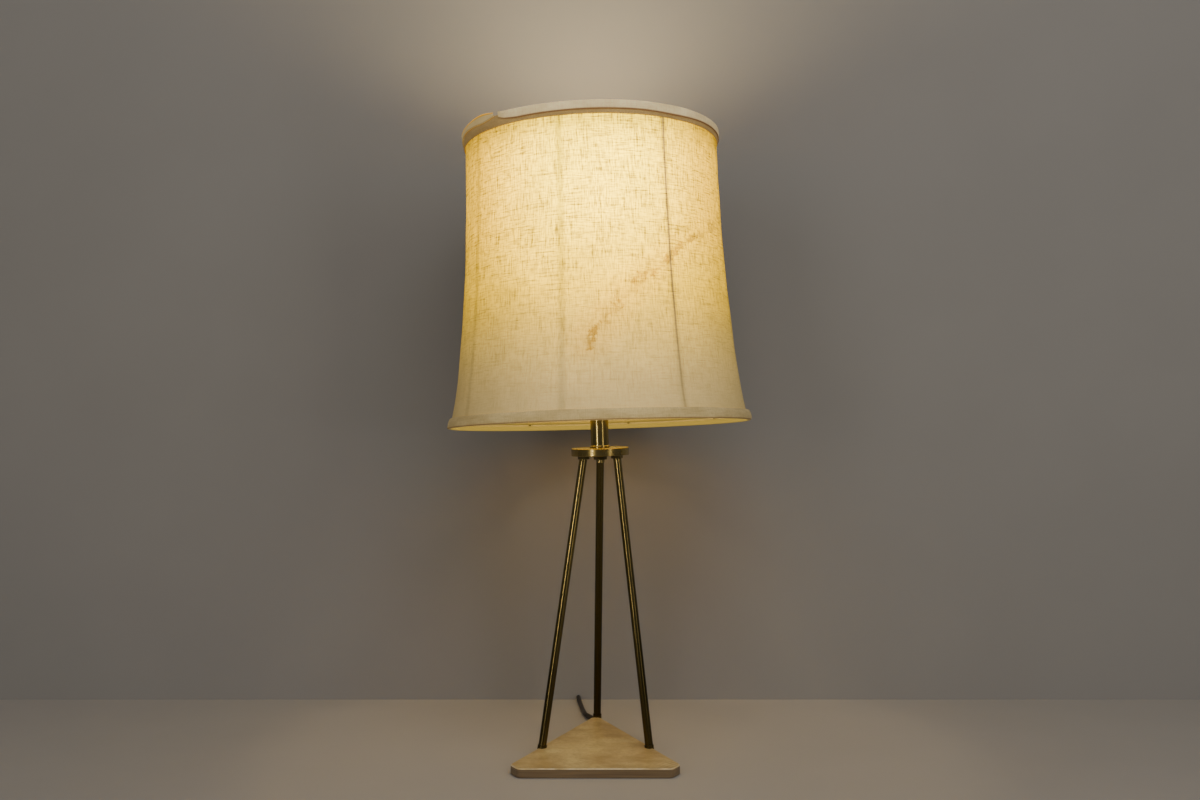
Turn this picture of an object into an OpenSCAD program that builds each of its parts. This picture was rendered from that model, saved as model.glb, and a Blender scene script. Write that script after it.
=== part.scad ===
// Tripod table lamp: a wooden base, three slim brass legs, a brass hub and neck,
// a lamp holder with a turn switch, and a bell-shaped fabric shade on a harp.
// Millimetres, Z up. The origin is on the table, below the middle of the hub's circle of legs.

/* [Base] */
// Width of the base triangle at its front edge, to the sharp corners
base_w = 205; // [190:1:230]
// Depth of the base triangle, from the front edge to the sharp rear corner
base_d = 220; // [205:1:240]
// How far the front edge lies in front of the origin
base_front = 131; // [120:1:145]
// Thickness of the base
base_t = 11; // [9:0.5:16]
// Length cut off each front corner, along both edges
corner_cut = 17.2; // [10:1:28]
// Radius of the rear corner, seen from above
apex_r = 8; // [4:0.5:12]
// Softening of the top and bottom edges
edge_soft = 1.2; // [0.5:0.1:2]
// Rounding of the base's corners, seen from above
corner_soft = 7; // [3:0.5:9]

/* [Legs] */
// Outer diameter of a leg tube
leg_d = 9.5; // [8:0.25:11]
// Wall of a leg tube
leg_wall = 1; // [0.8:0.1:1.4]
// Distance of each front foot inside the base's sloping sides, from side to side
foot_side_inset = 2.39; // [1.5:0.01:5]
// Distance of the front feet in front of the origin
foot_front = 53.5; // [48:0.5:60]
// Distance of the rear foot in front of the base's rear end
foot_rear_inset = 5.6; // [3.5:0.1:7]
// Radius of the circle on which the legs enter the hub
leg_circle_r = 26; // [24:0.5:28]
// Angle of each front leg in front of the side-to-side line
leg_angle = 40; // [30:1:50]
// Outer diameter of a foot ferrule
ferrule_d = 11; // [10.75:0.25:13]
// Height of the foot ferrules
ferrule_h = 14; // [13:1:32]
// Depth of solid metal under the tube in a foot ferrule
ferrule_floor = 9; // [8.5:0.5:12]
// Gap between the feet and the table
foot_lift = 0.8; // [0.4:0.1:1.5]
// Diameter of the pins that hold the feet to the base
pin_d = 4; // [3:0.25:4.5]
// Length of a foot pin in the wood
pin_grip = 14; // [10:1:20]

/* [Hub] */
// Height of the underside of the hub above the table
hub_z = 350; // [320:1:380]
// Sideways offset of the hub
hub_shift = 5.5; // [0:0.5:8]
// Sideways lean of the hub and all that stands on it, in degrees
side_lean = 1.75; // [0:0.25:3]
// Diameter of the hub
hub_d = 70; // [66:1:80]
// Height of the hub
hub_h = 9.5; // [9:0.5:14]
// Wall of the hub cup
hub_wall = 1.5; // [1:0.1:2]
// Thickness of the plate inside the hub
plate_t = 2; // [1.5:0.25:3]
// Width across flats of the leg nuts
leg_nut_af = 12; // [11.5:0.25:14]
// Thickness of the leg nuts
leg_nut_t = 3.4; // [2.5:0.1:5]
// Width across flats of the centre lock nut
lock_nut_af = 14; // [13:0.5:18]
// Thickness of the centre lock nut
lock_nut_t = 4; // [3:0.25:6]

/* [Neck] */
// Outer diameter of the threaded stem pipe
stem_d = 10.2; // [9.8:0.1:10.6]
// Bore of the stem pipe
stem_bore = 7.2; // [6.5:0.1:7.6]
// Diameter of the collar under the neck
collar_d = 24; // [23:0.5:30]
// Height of the collar
collar_h = 2.5; // [2:0.25:5]
// Outer diameter of the neck tube
neck_d = 22; // [20:0.5:22.5]
// Wall of the neck tube
neck_wall = 0.8; // [0.6:0.1:1.5]
// Length of the neck tube
neck_len = 166; // [120:1:200]
// Thickness of the neck cap
cap_t = 3; // [2:0.25:5]

/* [Lamp holder] */
// Outer diameter of the lamp holder's shell
shell_d = 32.6; // [32:0.1:35]
// Height of the lamp holder above the saddle
holder_h = 62; // [60:1:68]
// Height of the switch shaft above the saddle
switch_h = 27; // [26:0.5:29]
// Diameter of the switch knob
knob_d = 12; // [9:0.5:15]
// Length of the switch knob
knob_len = 12; // [8:0.5:16]
// Diameter of the bulb's screw cap
bulb_cap_d = 26.4; // [26:0.1:26.6]
// Diameter of the bulb's glass
bulb_d = 60; // [45:1:66]
// Length of the bulb over all
bulb_len = 108; // [100:1:118]

/* [Harp] */
// Height of the harp's crown above the saddle
harp_h = 176; // [168:1:190]
// Diameter of the harp's wire
harp_wire = 3.5; // [3:0.1:4]
// Distance of each foot of the harp from its middle
harp_foot = 30; // [28:0.5:34]
// Splay of the harp's sides, in degrees
harp_splay = 14; // [10:1:18]
// Backward lean of the harp and the shade, in degrees
back_lean = 2.75; // [0:0.25:4]
// Length of a harp sleeve
sleeve_len = 16; // [14:0.5:20]
// Outer diameter of a harp sleeve
sleeve_d = 6.6; // [6:0.2:8]
// Height to which a harp sleeve slides
sleeve_travel = 12; // [8:0.5:14]
// Diameter of the threaded stud on the harp
stud_d = 6.2; // [5:0.1:7]

/* [Shade] */
// Height of the shade over its trims
shade_h = 349.5; // [320:0.5:380]
// Radius of the fabric at the top of the shade
shade_r_top = 152.5; // [145:0.5:165]
// How much wider the radius of the fabric is at the bottom of the shade
shade_flare = 27; // [15:0.5:35]
// Depth of the spider's seat below the top of the shade
shade_recess = 24; // [20:1:32]
// Thickness of the fabric with its lining
fabric_t = 1; // [0.8:0.1:1.5]
// Height of the top trim
trim_top_h = 14; // [10:0.5:18]
// Height of the bottom trim
trim_bottom_h = 12.5; // [10:0.5:18]
// How far the trims stand out from the fabric
trim_t = 3; // [2:0.25:4]
// Number of ribs in the frame
rib_count = 8; // [6:1:12]
// Direction of the first rib, in degrees from +X
rib_turn = 302; // [280:1:324]
// Diameter of a rib
rib_d = 3; // [2:0.25:3.5]
// Diameter of the frame's rings
ring_d = 4; // [3:0.25:5]
// Diameter of the spider's arms
arm_d = 3.6; // [3:0.2:5]
// Height of the finial
finial_h = 20; // [16:1:24]

/* [Cord] */
// Diameter of the cord
cord_d = 6; // [6:0.1:6.2]
// Length of the strain relief
relief_len = 22; // [20:1:24]
// Compass direction in which the cord leaves the rear foot, in degrees from +X
exit_turn = 116; // [112:1:120]
// Length of the plug's body
plug_len = 32; // [28:1:36]

/* [Hidden] */
$fn = 48;

brass = "#a8894a";
dark_brass = "#5c4a2a";
steel = "#8a8a88";
wood = "#c79a5b";
linen = "#e8d6a8";
trim_cloth = "#cdbb95";
black = "#1c1a18";

// Clearances: a seat that stays put, a bore that turns or slides, and a cut's overshoot
seat = 0.05;
running = 0.08;
over = 1;
lap = 0.5; // how far the straights of a bent wire reach into its bends
bend_thin = 0.02; // what a wire loses in thickness where it is bent

// Feet on the table and the places where the legs enter the hub's underside
leg_r = leg_d / 2;
leg_end = 4.5; // how far a leg stands above the hub's underside
ferrule_r = ferrule_d / 2;
pin_z = base_t / 2;
pin_seat = 2.8; // depth of a pin in its ferrule
rear_foot_x = 1.5;
foot_rear = base_d - base_front - foot_rear_inset;
foot_x = base_w / 2 * (base_d - base_front + foot_front) / base_d - foot_side_inset;
feet = [[-foot_x, -foot_front, 0], [foot_x, -foot_front, 0], [rear_foot_x, foot_rear, 0]];
leg_dirs = [180 + leg_angle, -leg_angle, 90];

function unit(v) = v / norm(v);
function polar(r, a, z = 0) = [r * cos(a), r * sin(a), z];
// A point given from the middle of the hub's underside, in the part's own frame
function in_hub(p) = [
  hub_shift + p[0] * cos(side_lean) - p[2] * sin(side_lean),
  p[1],
  hub_z + p[0] * sin(side_lean) + p[2] * cos(side_lean)
];
leg_tops = [for (a = leg_dirs) in_hub(polar(leg_circle_r, a))];
leg_ways = [for (i = [0:2]) unit(leg_tops[i] - feet[i])];
leg_rise = [for (i = [0:2]) leg_ways[i][2]];
function on_leg(i, z) = feet[i] + leg_ways[i] * z / leg_rise[i];

// Hub and neck, upwards from the hub's underside
hub_r = hub_d / 2;
plate_lip = 1.5; // width of the ledge that the plate lies against
stem_r = stem_d / 2;
bore_r = stem_bore / 2;
washer_t = 1;
stem_tail = 8.7; // how far the stem hangs below the hub
collar_top = hub_h + collar_h;
spigot = 4; // height of the pegs that centre the neck tube
neck_r = neck_d / 2;
neck_inner = neck_r - neck_wall;
neck_top = collar_top + neck_len;
saddle_t = 1.2;
saddle_z = neck_top + cap_t;
holder_z = saddle_z + saddle_t;
stem_top = holder_z + 6;
slot_z = (plate_t + hub_h - hub_wall) / 2; // middle of the hollow in the hub
slot_h = 4.4;

// Lamp holder, upwards from the top of the saddle
shell_r = shell_d / 2;
shell_wall = 0.6;
cap_wall = 0.8;
cap_r = shell_r + cap_wall + seat;
cap_h = 22;
shell_foot = 16;
liner_gap = 0.2;
liner_wall = 0.8;
liner_r = shell_r - shell_wall - liner_gap;
body_r = liner_r - liner_wall - liner_gap;
body_foot = 8;
body_top = 31;
contact_t = 1.2;
screw_wall = 0.4;
screw_r = bulb_cap_d / 2 + 0.3 + screw_wall;
screw_top = holder_h - 4;
shaft_r = 1.6;
shaft_in = 6; // inner end of the shaft, from the holder's axis
knob_in = shell_r + 5.5; // inner face of the knob, from the holder's axis
knob_seat = 7; // depth of the shaft in the knob
bulb_foot = body_top + contact_t + 0.3;
bulb_cap_h = 25;
bulb_r = bulb_d / 2;
glass_t = 1;

// Harp, upwards from the top of the saddle, in its own leaning frame
wire_r = harp_wire / 2;
tenon_h = 14;
boss_h = 3;
harp_gap = 0.2;
straight_top = sleeve_len + sleeve_travel + boss_h + 2;
bend_r = 30;
bend_end = [harp_foot + bend_r * (1 - cos(harp_splay)), straight_top + bend_r * sin(harp_splay)];
// The side's straight length, so that the upper arc ends level at harp_h
side_len = (harp_h - bend_end[1] - bend_end[0] * (1 + sin(harp_splay)) / cos(harp_splay))
  / (cos(harp_splay) + sin(harp_splay) * (1 + sin(harp_splay)) / cos(harp_splay));
side_end = bend_end + side_len * [sin(harp_splay), cos(harp_splay)];
crown_r = side_end[0] / cos(harp_splay);
shoulder_r = 6;
seat_z = harp_h + wire_r + 1.8; // top of the stud's shoulder, on which the shade sits
stud_len = 13;

// Shade, upwards from the spider's seat, in the harp's frame
top_s = shade_recess;
bottom_s = shade_recess - shade_h;
washer_gap = 0.1;
spider_t = 1.5;
trim_lip = 5; // height of the trims' inner lips
lip_t = 1.2;
lip_gap = 0.2;
trim_gap = 0.4; // from the fabric's face to a trim's outer band
rib_r = rib_d / 2;
ring_r = ring_d / 2;
arm_r = arm_d / 2;
rib_in = fabric_t + 0.3 + rib_r; // from the fabric's face to the middle of a rib
ring_in = rib_in + rib_r + seat + ring_r;
rib_top = top_s - lip_t - trim_lip - 0.5;
rib_bottom = bottom_s + lip_t + trim_lip + 0.5;
top_ring_s = rib_top - ring_r - 1;
bottom_ring_s = rib_bottom + ring_r + 1;
function share(s) = (top_s - s) / shade_h;
// Radius of the fabric: a bell that opens slowly, then kicks out at its foot
function shade_r(s) = shade_r_top + shade_flare * (0.85 * share(s) ^ 2 + 0.15 * max(0, share(s)) ^ 12);
function steps(a, b, n) = [for (i = [0:n]) a + (b - a) * i / n];

// Cord: where it leaves the rear foot, and its route along the table
cord_r = cord_d / 2;
exit_z = 4.4;
shank_r = 2.8;
shank_len = 2.3;
relief_root_r = 4.1;
relief_tip_r = 3.5;
relief_gap = 0.2; // between the rear ferrule and the relief's flange
wire_way_r = 1.8;
foot_axis = on_leg(2, exit_z);
exit_way = polar(1, exit_turn);
relief_start = foot_axis + exit_way * (ferrule_r + relief_gap);
relief_end = relief_start + exit_way * relief_len;
run_points = [
  [-14.5, 116, 4.3], [-17, 127, 3.9], [-19, 138, 3.5], [-20.7, 150, 3.2], [-22, 165, 3.2],
  [-23.5, 185, 3.2], [-25, 205, 3.3], [-25.8, 222, 3.6], [-26, 238, 3.9], [-26, 252, 4.2],
  [-26, 262, 4.3]
];
coil_x = 21;
coil_y = 268;
coil_r = 47; // from the coil's middle to its outermost turn
coil_z = 4.3;
coil_turns = 6.75;
coil_pitch = 6.5;
coil_rings = 24; // for each turn
tail_points = [
  [14, 221, 10.8], [4, 221, 10.8], [-8, 221, 10.8], [-20, 221, 10.8], [-30, 221.3, 10.4],
  [-39, 222.3, 8.9], [-48, 224.6, 7], [-57, 227.8, 5.5], [-66, 231.2, 4.8], [-75, 234, 5.2],
  [-84, 235.6, 6.1], [-92, 236, 6.8], [-98, 236, 7]
];
plug_in = [-98, 236, 7]; // where the cord enters the plug
plug_h = 13.4;

// A list of points with a new tangent, normal and ring at each, for tubes along a route
function tangents(p) = [
  for (i = [0:len(p) - 1]) unit(p[min(i + 1, len(p) - 1)] - p[max(i - 1, 0)])
];
function carried(n, t) = unit(n - (n * t) * t);
function normals(t, n0) = [
  for (
    i = 0, n = carried(n0, t[0]);
    i < len(t);
    i = i + 1, n = carried(n, t[min(i, len(t) - 1)])
  ) n
];
function ring_points(p, t, n, r, sides) = [
  for (k = [0:sides - 1]) p + r * (cos(360 * k / sides) * n + sin(360 * k / sides) * cross(t, n))
];
module sweep(points, r, sides, first = [0, 0, 1]) {
  t = tangents(points);
  n = normals(t, first);
  last = len(points) - 1;
  skin = [for (i = [0:last]) each ring_points(points[i], t[i], n[i], r, sides)];
  walls = [
    for (i = [0:last - 1]) for (k = [0:sides - 1])
      let (a = i * sides + k, b = i * sides + (k + 1) % sides)
        each [[a, a + sides, b], [b, a + sides, b + sides]]
  ];
  ends = [
    for (k = [1:sides - 2])
      each [[0, k, k + 1], [last * sides, last * sides + k + 1, last * sides + k]]
  ];
  polyhedron(points = skin, faces = concat(walls, ends), convexity = 10);
}
// Distance along a route
function run_length(p) = len(p) < 2
  ? 0
  : norm(p[1] - p[0]) + run_length([for (i = [1:len(p) - 1]) p[i]]);

// Radius and height of the coil after so many turns: in along the table, then out on top
function coil_at(turn) = let (
  half = coil_turns / 2,
  r = coil_r - coil_pitch * (half - abs(turn - half)),
  climb = min(1, max(0, (turn - half + 0.25) / 0.5))
) [coil_x, coil_y, 0] + polar(r, 180 - 360 * turn, coil_z + coil_pitch * climb);
coil_points = concat(
  [[coil_x - coil_r, coil_y - cord_d, coil_z]],
  [for (i = [0:coil_turns * coil_rings]) coil_at(i / coil_rings)],
  [[coil_x - cord_d, coil_y - coil_r, coil_z + coil_pitch]]
);
// Least distance between stretches of the coil that are more than a third of a turn apart
coil_apart = min([
  for (i = [0:len(coil_points) - 1]) for (j = [i + coil_rings / 3:1:len(coil_points) - 1])
    norm(coil_points[i] - coil_points[j])
]);

module along(a, way) {
  translate(a)
    rotate([0, acos(way[2] / norm(way)), atan2(way[1], way[0])])
      children();
}
module hub_place() {
  translate([hub_shift, 0, hub_z]) rotate([0, -side_lean, 0]) children();
}
module holder_place() {
  hub_place() translate([0, 0, holder_z]) children();
}
module harp_place() {
  holder_place() rotate([-back_lean, 0, 0]) children();
}
module shade_place() {
  harp_place() translate([0, 0, seat_z]) children();
}

// A turned piece from its half section
module turned(section) {
  rotate_extrude($fn = 96) polygon(section);
}
module pipe(r, inner, h) {
  difference() {
    cylinder(r = r, h = h);
    translate([0, 0, -over]) cylinder(r = inner, h = h + 2 * over);
  }
}
module hexagon(af, h) {
  cylinder(r = af / sqrt(3), h = h, $fn = 6);
}

module base_outline(inset = 0) {
  back = base_d - base_front;
  half = base_w / 2;
  side = norm([half, base_d]);
  cut = corner_cut / side;
  slope = atan2(half, base_d); // half of the rear corner's angle
  round_y = back - apex_r / sin(slope);
  offset(r = corner_soft)
    offset(delta = -corner_soft - inset) polygon(concat(
      [for (a = steps(slope, 180 - slope, 8)) [0, round_y] + apex_r * [cos(a), sin(a)]],
      [[-half + half * cut, -base_front + base_d * cut], [-half + corner_cut, -base_front],
       [half - corner_cut, -base_front], [half - half * cut, -base_front + base_d * cut]]
    ));
}
// The direction in which each foot's pin points into the wood
side_slope = atan2(base_w / 2, base_d);
pin_dirs = [-side_slope, 180 + side_slope, 270];
module pin_hole(i, grip) {
  along(on_leg(i, 0) + [0, 0, pin_z], polar(1, pin_dirs[i])) {
    translate([0, 0, ferrule_r - pin_seat]) cylinder(r = pin_d / 2 + seat, h = pin_seat + grip);
  }
}
module leg_line(i, r, from, to) {
  along(on_leg(i, from), leg_ways[i]) cylinder(r = r, h = (to - from) / leg_rise[i]);
}
// The foot's cylinder on a leg's line, from under the table up to z
module foot_line(i, r, z) {
  along(on_leg(i, -5), leg_ways[i]) rotate(37) cylinder(r = r, h = (z + 5) / leg_rise[i]);
}
module below_table(z) {
  translate([-200, -200, z - 50]) cube([400, 400, 50]);
}

module wood_base() {
  color(wood)
    difference() {
      hull() {
        linear_extrude(base_t) base_outline(edge_soft);
        translate([0, 0, edge_soft]) linear_extrude(base_t - 2 * edge_soft) base_outline();
      }
      for (i = [0:2]) {
        foot_line(i, ferrule_r + 0.1, base_t + 5);
        pin_hole(i, pin_grip);
      }
    }
}

module leg(i) {
  color(brass)
    difference() {
      leg_line(i, leg_r, ferrule_floor + 0.1, leg_tops[i][2] + leg_end);
      leg_line(i, leg_r - leg_wall, ferrule_floor - 5, leg_tops[i][2] + leg_end + 5);
    }
}
module leg_left() { leg(0); }
module leg_right() { leg(1); }
module leg_rear() { leg(2); }

module ferrule(i) {
  difference() {
    foot_line(i, ferrule_r, ferrule_h);
    leg_line(i, leg_r + seat, ferrule_floor, ferrule_h + 5);
    below_table(foot_lift);
    pin_hole(i, pin_grip);
  }
}
module ferrule_left() { color(dark_brass) ferrule(0); }
module ferrule_right() { color(dark_brass) ferrule(1); }
// The rear ferrule lets the supply wire out low down at its back, where a flat takes the
// strain relief's flange
module ferrule_rear() {
  color(dark_brass)
    difference() {
      ferrule(2);
      leg_line(2, wire_way_r, exit_z - 0.5, ferrule_floor + 1);
      along(foot_axis - exit_way * 0.5, exit_way) cylinder(r = wire_way_r + 0.3, h = ferrule_r + 3);
      along(foot_axis + exit_way * (ferrule_r - shank_len), exit_way) cylinder(r = shank_r + seat, h = 10);
      along(foot_axis + exit_way * (ferrule_r + relief_gap / 2), exit_way)
        cylinder(r = relief_root_r + 0.5, h = 5);
    }
}

module foot_pins() {
  color(steel)
    for (i = [0:2])
      along(on_leg(i, 0) + [0, 0, pin_z], polar(1, pin_dirs[i]))
        translate([0, 0, ferrule_r - pin_seat + 0.1]) cylinder(r = pin_d / 2, h = pin_seat + pin_grip - 0.3);
}

module hub_cup() {
  color(brass)
    hub_place()
      turned([
        [stem_r + seat, hub_h - hub_wall], [hub_r - hub_wall - plate_lip, hub_h - hub_wall],
        [hub_r - hub_wall - plate_lip, plate_t + seat], [hub_r - hub_wall, plate_t + seat],
        [hub_r - hub_wall, 0], [hub_r - 0.5, 0], [hub_r, 0.5], [hub_r, hub_h - 1],
        [hub_r - 0.3, hub_h - 0.3], [hub_r - 1, hub_h], [stem_r + seat, hub_h]
      ]);
}
module hub_plate() {
  color(dark_brass)
    difference() {
      hub_place() pipe(hub_r - hub_wall - seat, stem_r + seat, plate_t);
      for (i = [0:2]) leg_line(i, leg_r + seat, hub_z - 15, hub_z + 15);
    }
}
module leg_nuts() {
  color(dark_brass)
    for (i = [0:2])
      difference() {
        hub_place()
          translate(polar(leg_circle_r, leg_dirs[i], -leg_nut_t - seat)) hexagon(leg_nut_af, leg_nut_t);
        leg_line(i, leg_r + seat, hub_z - 15, hub_z + 15);
      }
}
module stem_pipe() {
  color(brass)
    difference() {
      hub_place() translate([0, 0, -stem_tail]) pipe(stem_r, bore_r, stem_tail + stem_top);
      hub_place() translate([-slot_h / 2, 0, slot_z - slot_h / 2]) cube([slot_h, stem_r + over, slot_h]);
    }
}
module stem_washer() {
  color(dark_brass)
    hub_place()
      translate([0, 0, -washer_t - seat]) pipe(lock_nut_af / 2 + 2, stem_r + seat, washer_t);
}
module stem_locknut() {
  color(dark_brass)
    hub_place()
      translate([0, 0, -washer_t - lock_nut_t - 2 * seat])
        difference() {
          hexagon(lock_nut_af, lock_nut_t);
          translate([0, 0, -over]) cylinder(r = stem_r + seat, h = lock_nut_t + 2 * over);
        }
}

module neck_collar() {
  color(brass)
    hub_place()
      turned([
        [stem_r + seat, hub_h + seat], [collar_d / 2, hub_h + seat], [collar_d / 2, collar_top - 0.6],
        [collar_d / 2 - 0.6, collar_top], [neck_inner - seat, collar_top],
        [neck_inner - seat, collar_top + spigot], [stem_r + seat, collar_top + spigot]
      ]);
}
module neck_tube() {
  color(brass)
    hub_place()
      translate([0, 0, collar_top + seat]) pipe(neck_r, neck_inner, neck_len - 2 * seat);
}
module neck_cap() {
  color(brass)
    hub_place()
      turned([
        [stem_r + seat, neck_top - spigot], [neck_inner - seat, neck_top - spigot],
        [neck_inner - seat, neck_top], [neck_r + 0.5, neck_top], [neck_r + 0.5, neck_top + cap_t - 1],
        [neck_r - 0.5, neck_top + cap_t], [stem_r + seat, neck_top + cap_t]
      ]);
}

module harp_saddle() {
  color(brass) {
    hub_place()
      translate([0, 0, saddle_z + seat])
        linear_extrude(saddle_t - seat)
          difference() {
            union() {
              square([2 * harp_foot, 11], center = true);
              for (x = [-1, 1]) translate([x * harp_foot, 0]) circle(r = 5.5);
              circle(r = 9);
            }
            circle(r = stem_r + seat);
          }
    for (x = [-1, 1])
      harp_place()
        translate([x * harp_foot, 0, -0.3]) {
          cylinder(r = sleeve_d / 2, h = boss_h + 0.3);
          cylinder(r = wire_r, h = tenon_h + 0.3);
        }
  }
}

// The harp's wire in the plane of X and Z: a foot, an outward bend and a straight on each
// side, and one crown over both. The straights reach a little way into the bends.
module harp_arc(middle, r, from, turn) {
  translate([middle[0], 0, middle[1]])
    rotate([90, 0, 0])
      rotate(from) rotate_extrude(angle = turn, $fn = 96) translate([r, 0]) circle(r = wire_r - bend_thin);
}
module harp_side() {
  foot_z = tenon_h + harp_gap;
  translate([harp_foot, 0, foot_z]) cylinder(r = wire_r, h = straight_top - foot_z + lap);
  harp_arc([harp_foot + bend_r, straight_top], bend_r, 180 - harp_splay, harp_splay);
  translate([bend_end[0], 0, bend_end[1]])
    rotate([0, harp_splay, 0]) translate([0, 0, -lap]) cylinder(r = wire_r, h = side_len + 2 * lap);
}
module harp() {
  color(brass)
    harp_place() {
      harp_side();
      mirror([1, 0, 0]) harp_side();
      harp_arc([0, harp_h - crown_r], crown_r, -harp_splay, 180 + 2 * harp_splay);
      translate([0, 0, harp_h - 0.5]) cylinder(r = shoulder_r, h = seat_z - harp_h + 0.5);
      translate([0, 0, seat_z - 0.5]) cylinder(r = stud_d / 2, h = stud_len + 0.5);
    }
}
module harp_sleeve(x) {
  color(brass)
    harp_place()
      translate([x * harp_foot, 0, boss_h + 0.1])
        turned([
          [wire_r + running, 0], [sleeve_d / 2 - 0.4, 0], [sleeve_d / 2, 0.4],
          [sleeve_d / 2, sleeve_len - 1.2], [sleeve_d / 2 - 0.6, sleeve_len - 0.3],
          [sleeve_d / 2 - 1, sleeve_len], [wire_r + running, sleeve_len]
        ]);
}
module harp_sleeve_left() { harp_sleeve(-1); }
module harp_sleeve_right() { harp_sleeve(1); }

module socket_cap() {
  color(brass)
    holder_place()
      turned([
        [stem_r + seat, seat], [9, seat], [9.8, 1], [10.2, 3], [12.6, 6.2], [15.4, 10],
        [cap_r - 0.3, 14.5], [cap_r, 17], [cap_r, cap_h], [cap_r - cap_wall, cap_h],
        [cap_r - cap_wall, 15], [14.4, 10.6], [11.4, 7.2], [stem_r + 1.6, 7.2], [stem_r + seat, 6.8]
      ]);
}
// Out of the holder's front from so far off its axis, at the switch's height
module switch_line(from) {
  translate([0, -from, switch_h]) rotate([90, 0, 0]) children();
}
module shaft_hole(r) {
  switch_line(shaft_in - 1) cylinder(r = r, h = 2 * shell_r);
}
module socket_shell() {
  color(brass)
    holder_place()
      difference() {
        turned([
          [shell_r - shell_wall, shell_foot], [shell_r, shell_foot], [shell_r, holder_h - 4],
          [shell_r + 0.8, holder_h - 3], [shell_r + 0.8, holder_h - 1], [shell_r, holder_h],
          [shell_r - shell_wall, holder_h]
        ]);
        shaft_hole(shaft_r + 1);
      }
}
module socket_liner() {
  color("#b9a27a")
    holder_place()
      difference() {
        translate([0, 0, shell_foot + 2])
          pipe(liner_r, liner_r - liner_wall, holder_h - shell_foot - 3);
        shaft_hole(shaft_r + 1);
      }
}
module socket_body() {
  color(black)
    holder_place()
      difference() {
        turned([
          [0, body_foot], [10.4, body_foot], [body_r - 2.5, 13], [body_r, 18],
          [body_r, body_top], [0, body_top]
        ]);
        shaft_hole(shaft_r + running);
      }
}
module screw_shell() {
  color(brass)
    holder_place()
      translate([0, 0, body_top + seat])
        difference() {
          cylinder(r = screw_r, h = screw_top - body_top);
          translate([0, 0, 0.5]) cylinder(r = screw_r - screw_wall, h = screw_top);
          translate([0, 0, -over]) cylinder(r = 6, h = 3);
        }
}
module centre_contact() {
  color(brass) holder_place() translate([0, 0, body_top + seat]) cylinder(r = 4, h = contact_t);
}
module switch_shaft() {
  color(steel)
    holder_place()
      switch_line(shaft_in) cylinder(r = shaft_r, h = knob_in + knob_seat - shaft_in);
}
module switch_knob() {
  color(black)
    holder_place()
      switch_line(knob_in)
        difference() {
          union() {
            cylinder(r = knob_d / 2 - 1.5, h = 2.5);
            translate([0, 0, 2]) cylinder(r = knob_d / 2, h = knob_len - 3);
            translate([0, 0, knob_len - 1]) cylinder(r1 = knob_d / 2, r2 = knob_d / 2 - 1, h = 1);
          }
          translate([0, 0, -over]) cylinder(r = shaft_r + seat, h = knob_seat + over);
          for (k = [0:11]) rotate(30 * k) translate([knob_d / 2 + 0.4, 0, 2.5]) cylinder(r = 1, h = knob_len);
        }
}

// Half section of the bulb's glass: a round crown that draws in to the neck at the cap
glass_foot = bulb_foot + bulb_cap_h;
glass_mid = bulb_foot + bulb_len - bulb_r;
function glass_side(shrink) = concat(
  [[0, glass_mid + bulb_r - shrink]],
  [for (a = steps(79, -9, 8)) [0, glass_mid] + (bulb_r - shrink) * [cos(a), sin(a)]],
  [
    [bulb_cap_d / 2 + 4.5 - shrink, glass_foot + 15],
    [bulb_cap_d / 2 + 0.8 - shrink, glass_foot + 7],
    [bulb_cap_d / 2 - 1 - shrink, glass_foot]
  ]
);
module bulb_glass() {
  inner = glass_side(glass_t);
  color("#f4f0e4")
    holder_place()
      turned(concat(glass_side(0), [for (i = [len(inner) - 1:-1:0]) inner[i]]));
}
module bulb_cap() {
  r = bulb_cap_d / 2;
  color(steel)
    holder_place()
      turned([
        [6, bulb_foot + 1.2], [8, bulb_foot + 1.2], [r - 1, bulb_foot + 5], [r, bulb_foot + 6],
        [r, glass_foot - 1], [r - 1, glass_foot - 0.1], [r - 2.4, glass_foot - 0.1],
        [r - 2, bulb_foot + 6.4], [6, bulb_foot + 2.8]
      ]);
}
module bulb_contact() {
  color(black)
    holder_place()
      turned([
        [0, bulb_foot], [3.5, bulb_foot], [5.9, bulb_foot + 1], [5.9, bulb_foot + 3],
        [0, bulb_foot + 3]
      ]);
}

module finial() {
  top = spider_t + washer_gap + 0.2;
  color(brass)
    shade_place()
      difference() {
        turned([
          [0, top], [6.5, top], [6.5, top + 2], [4.6, top + 3], [4.2, top + 7], [5.4, top + 9],
          [7.2, top + finial_h - 8], [7.6, top + finial_h - 5.5], [6.8, top + finial_h - 3],
          [4.6, top + finial_h - 1], [2, top + finial_h - 0.3], [0, top + finial_h]
        ]);
        translate([0, 0, top - over]) cylinder(r = stud_d / 2 + running, h = stud_len - top + over + 0.6);
      }
}

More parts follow.
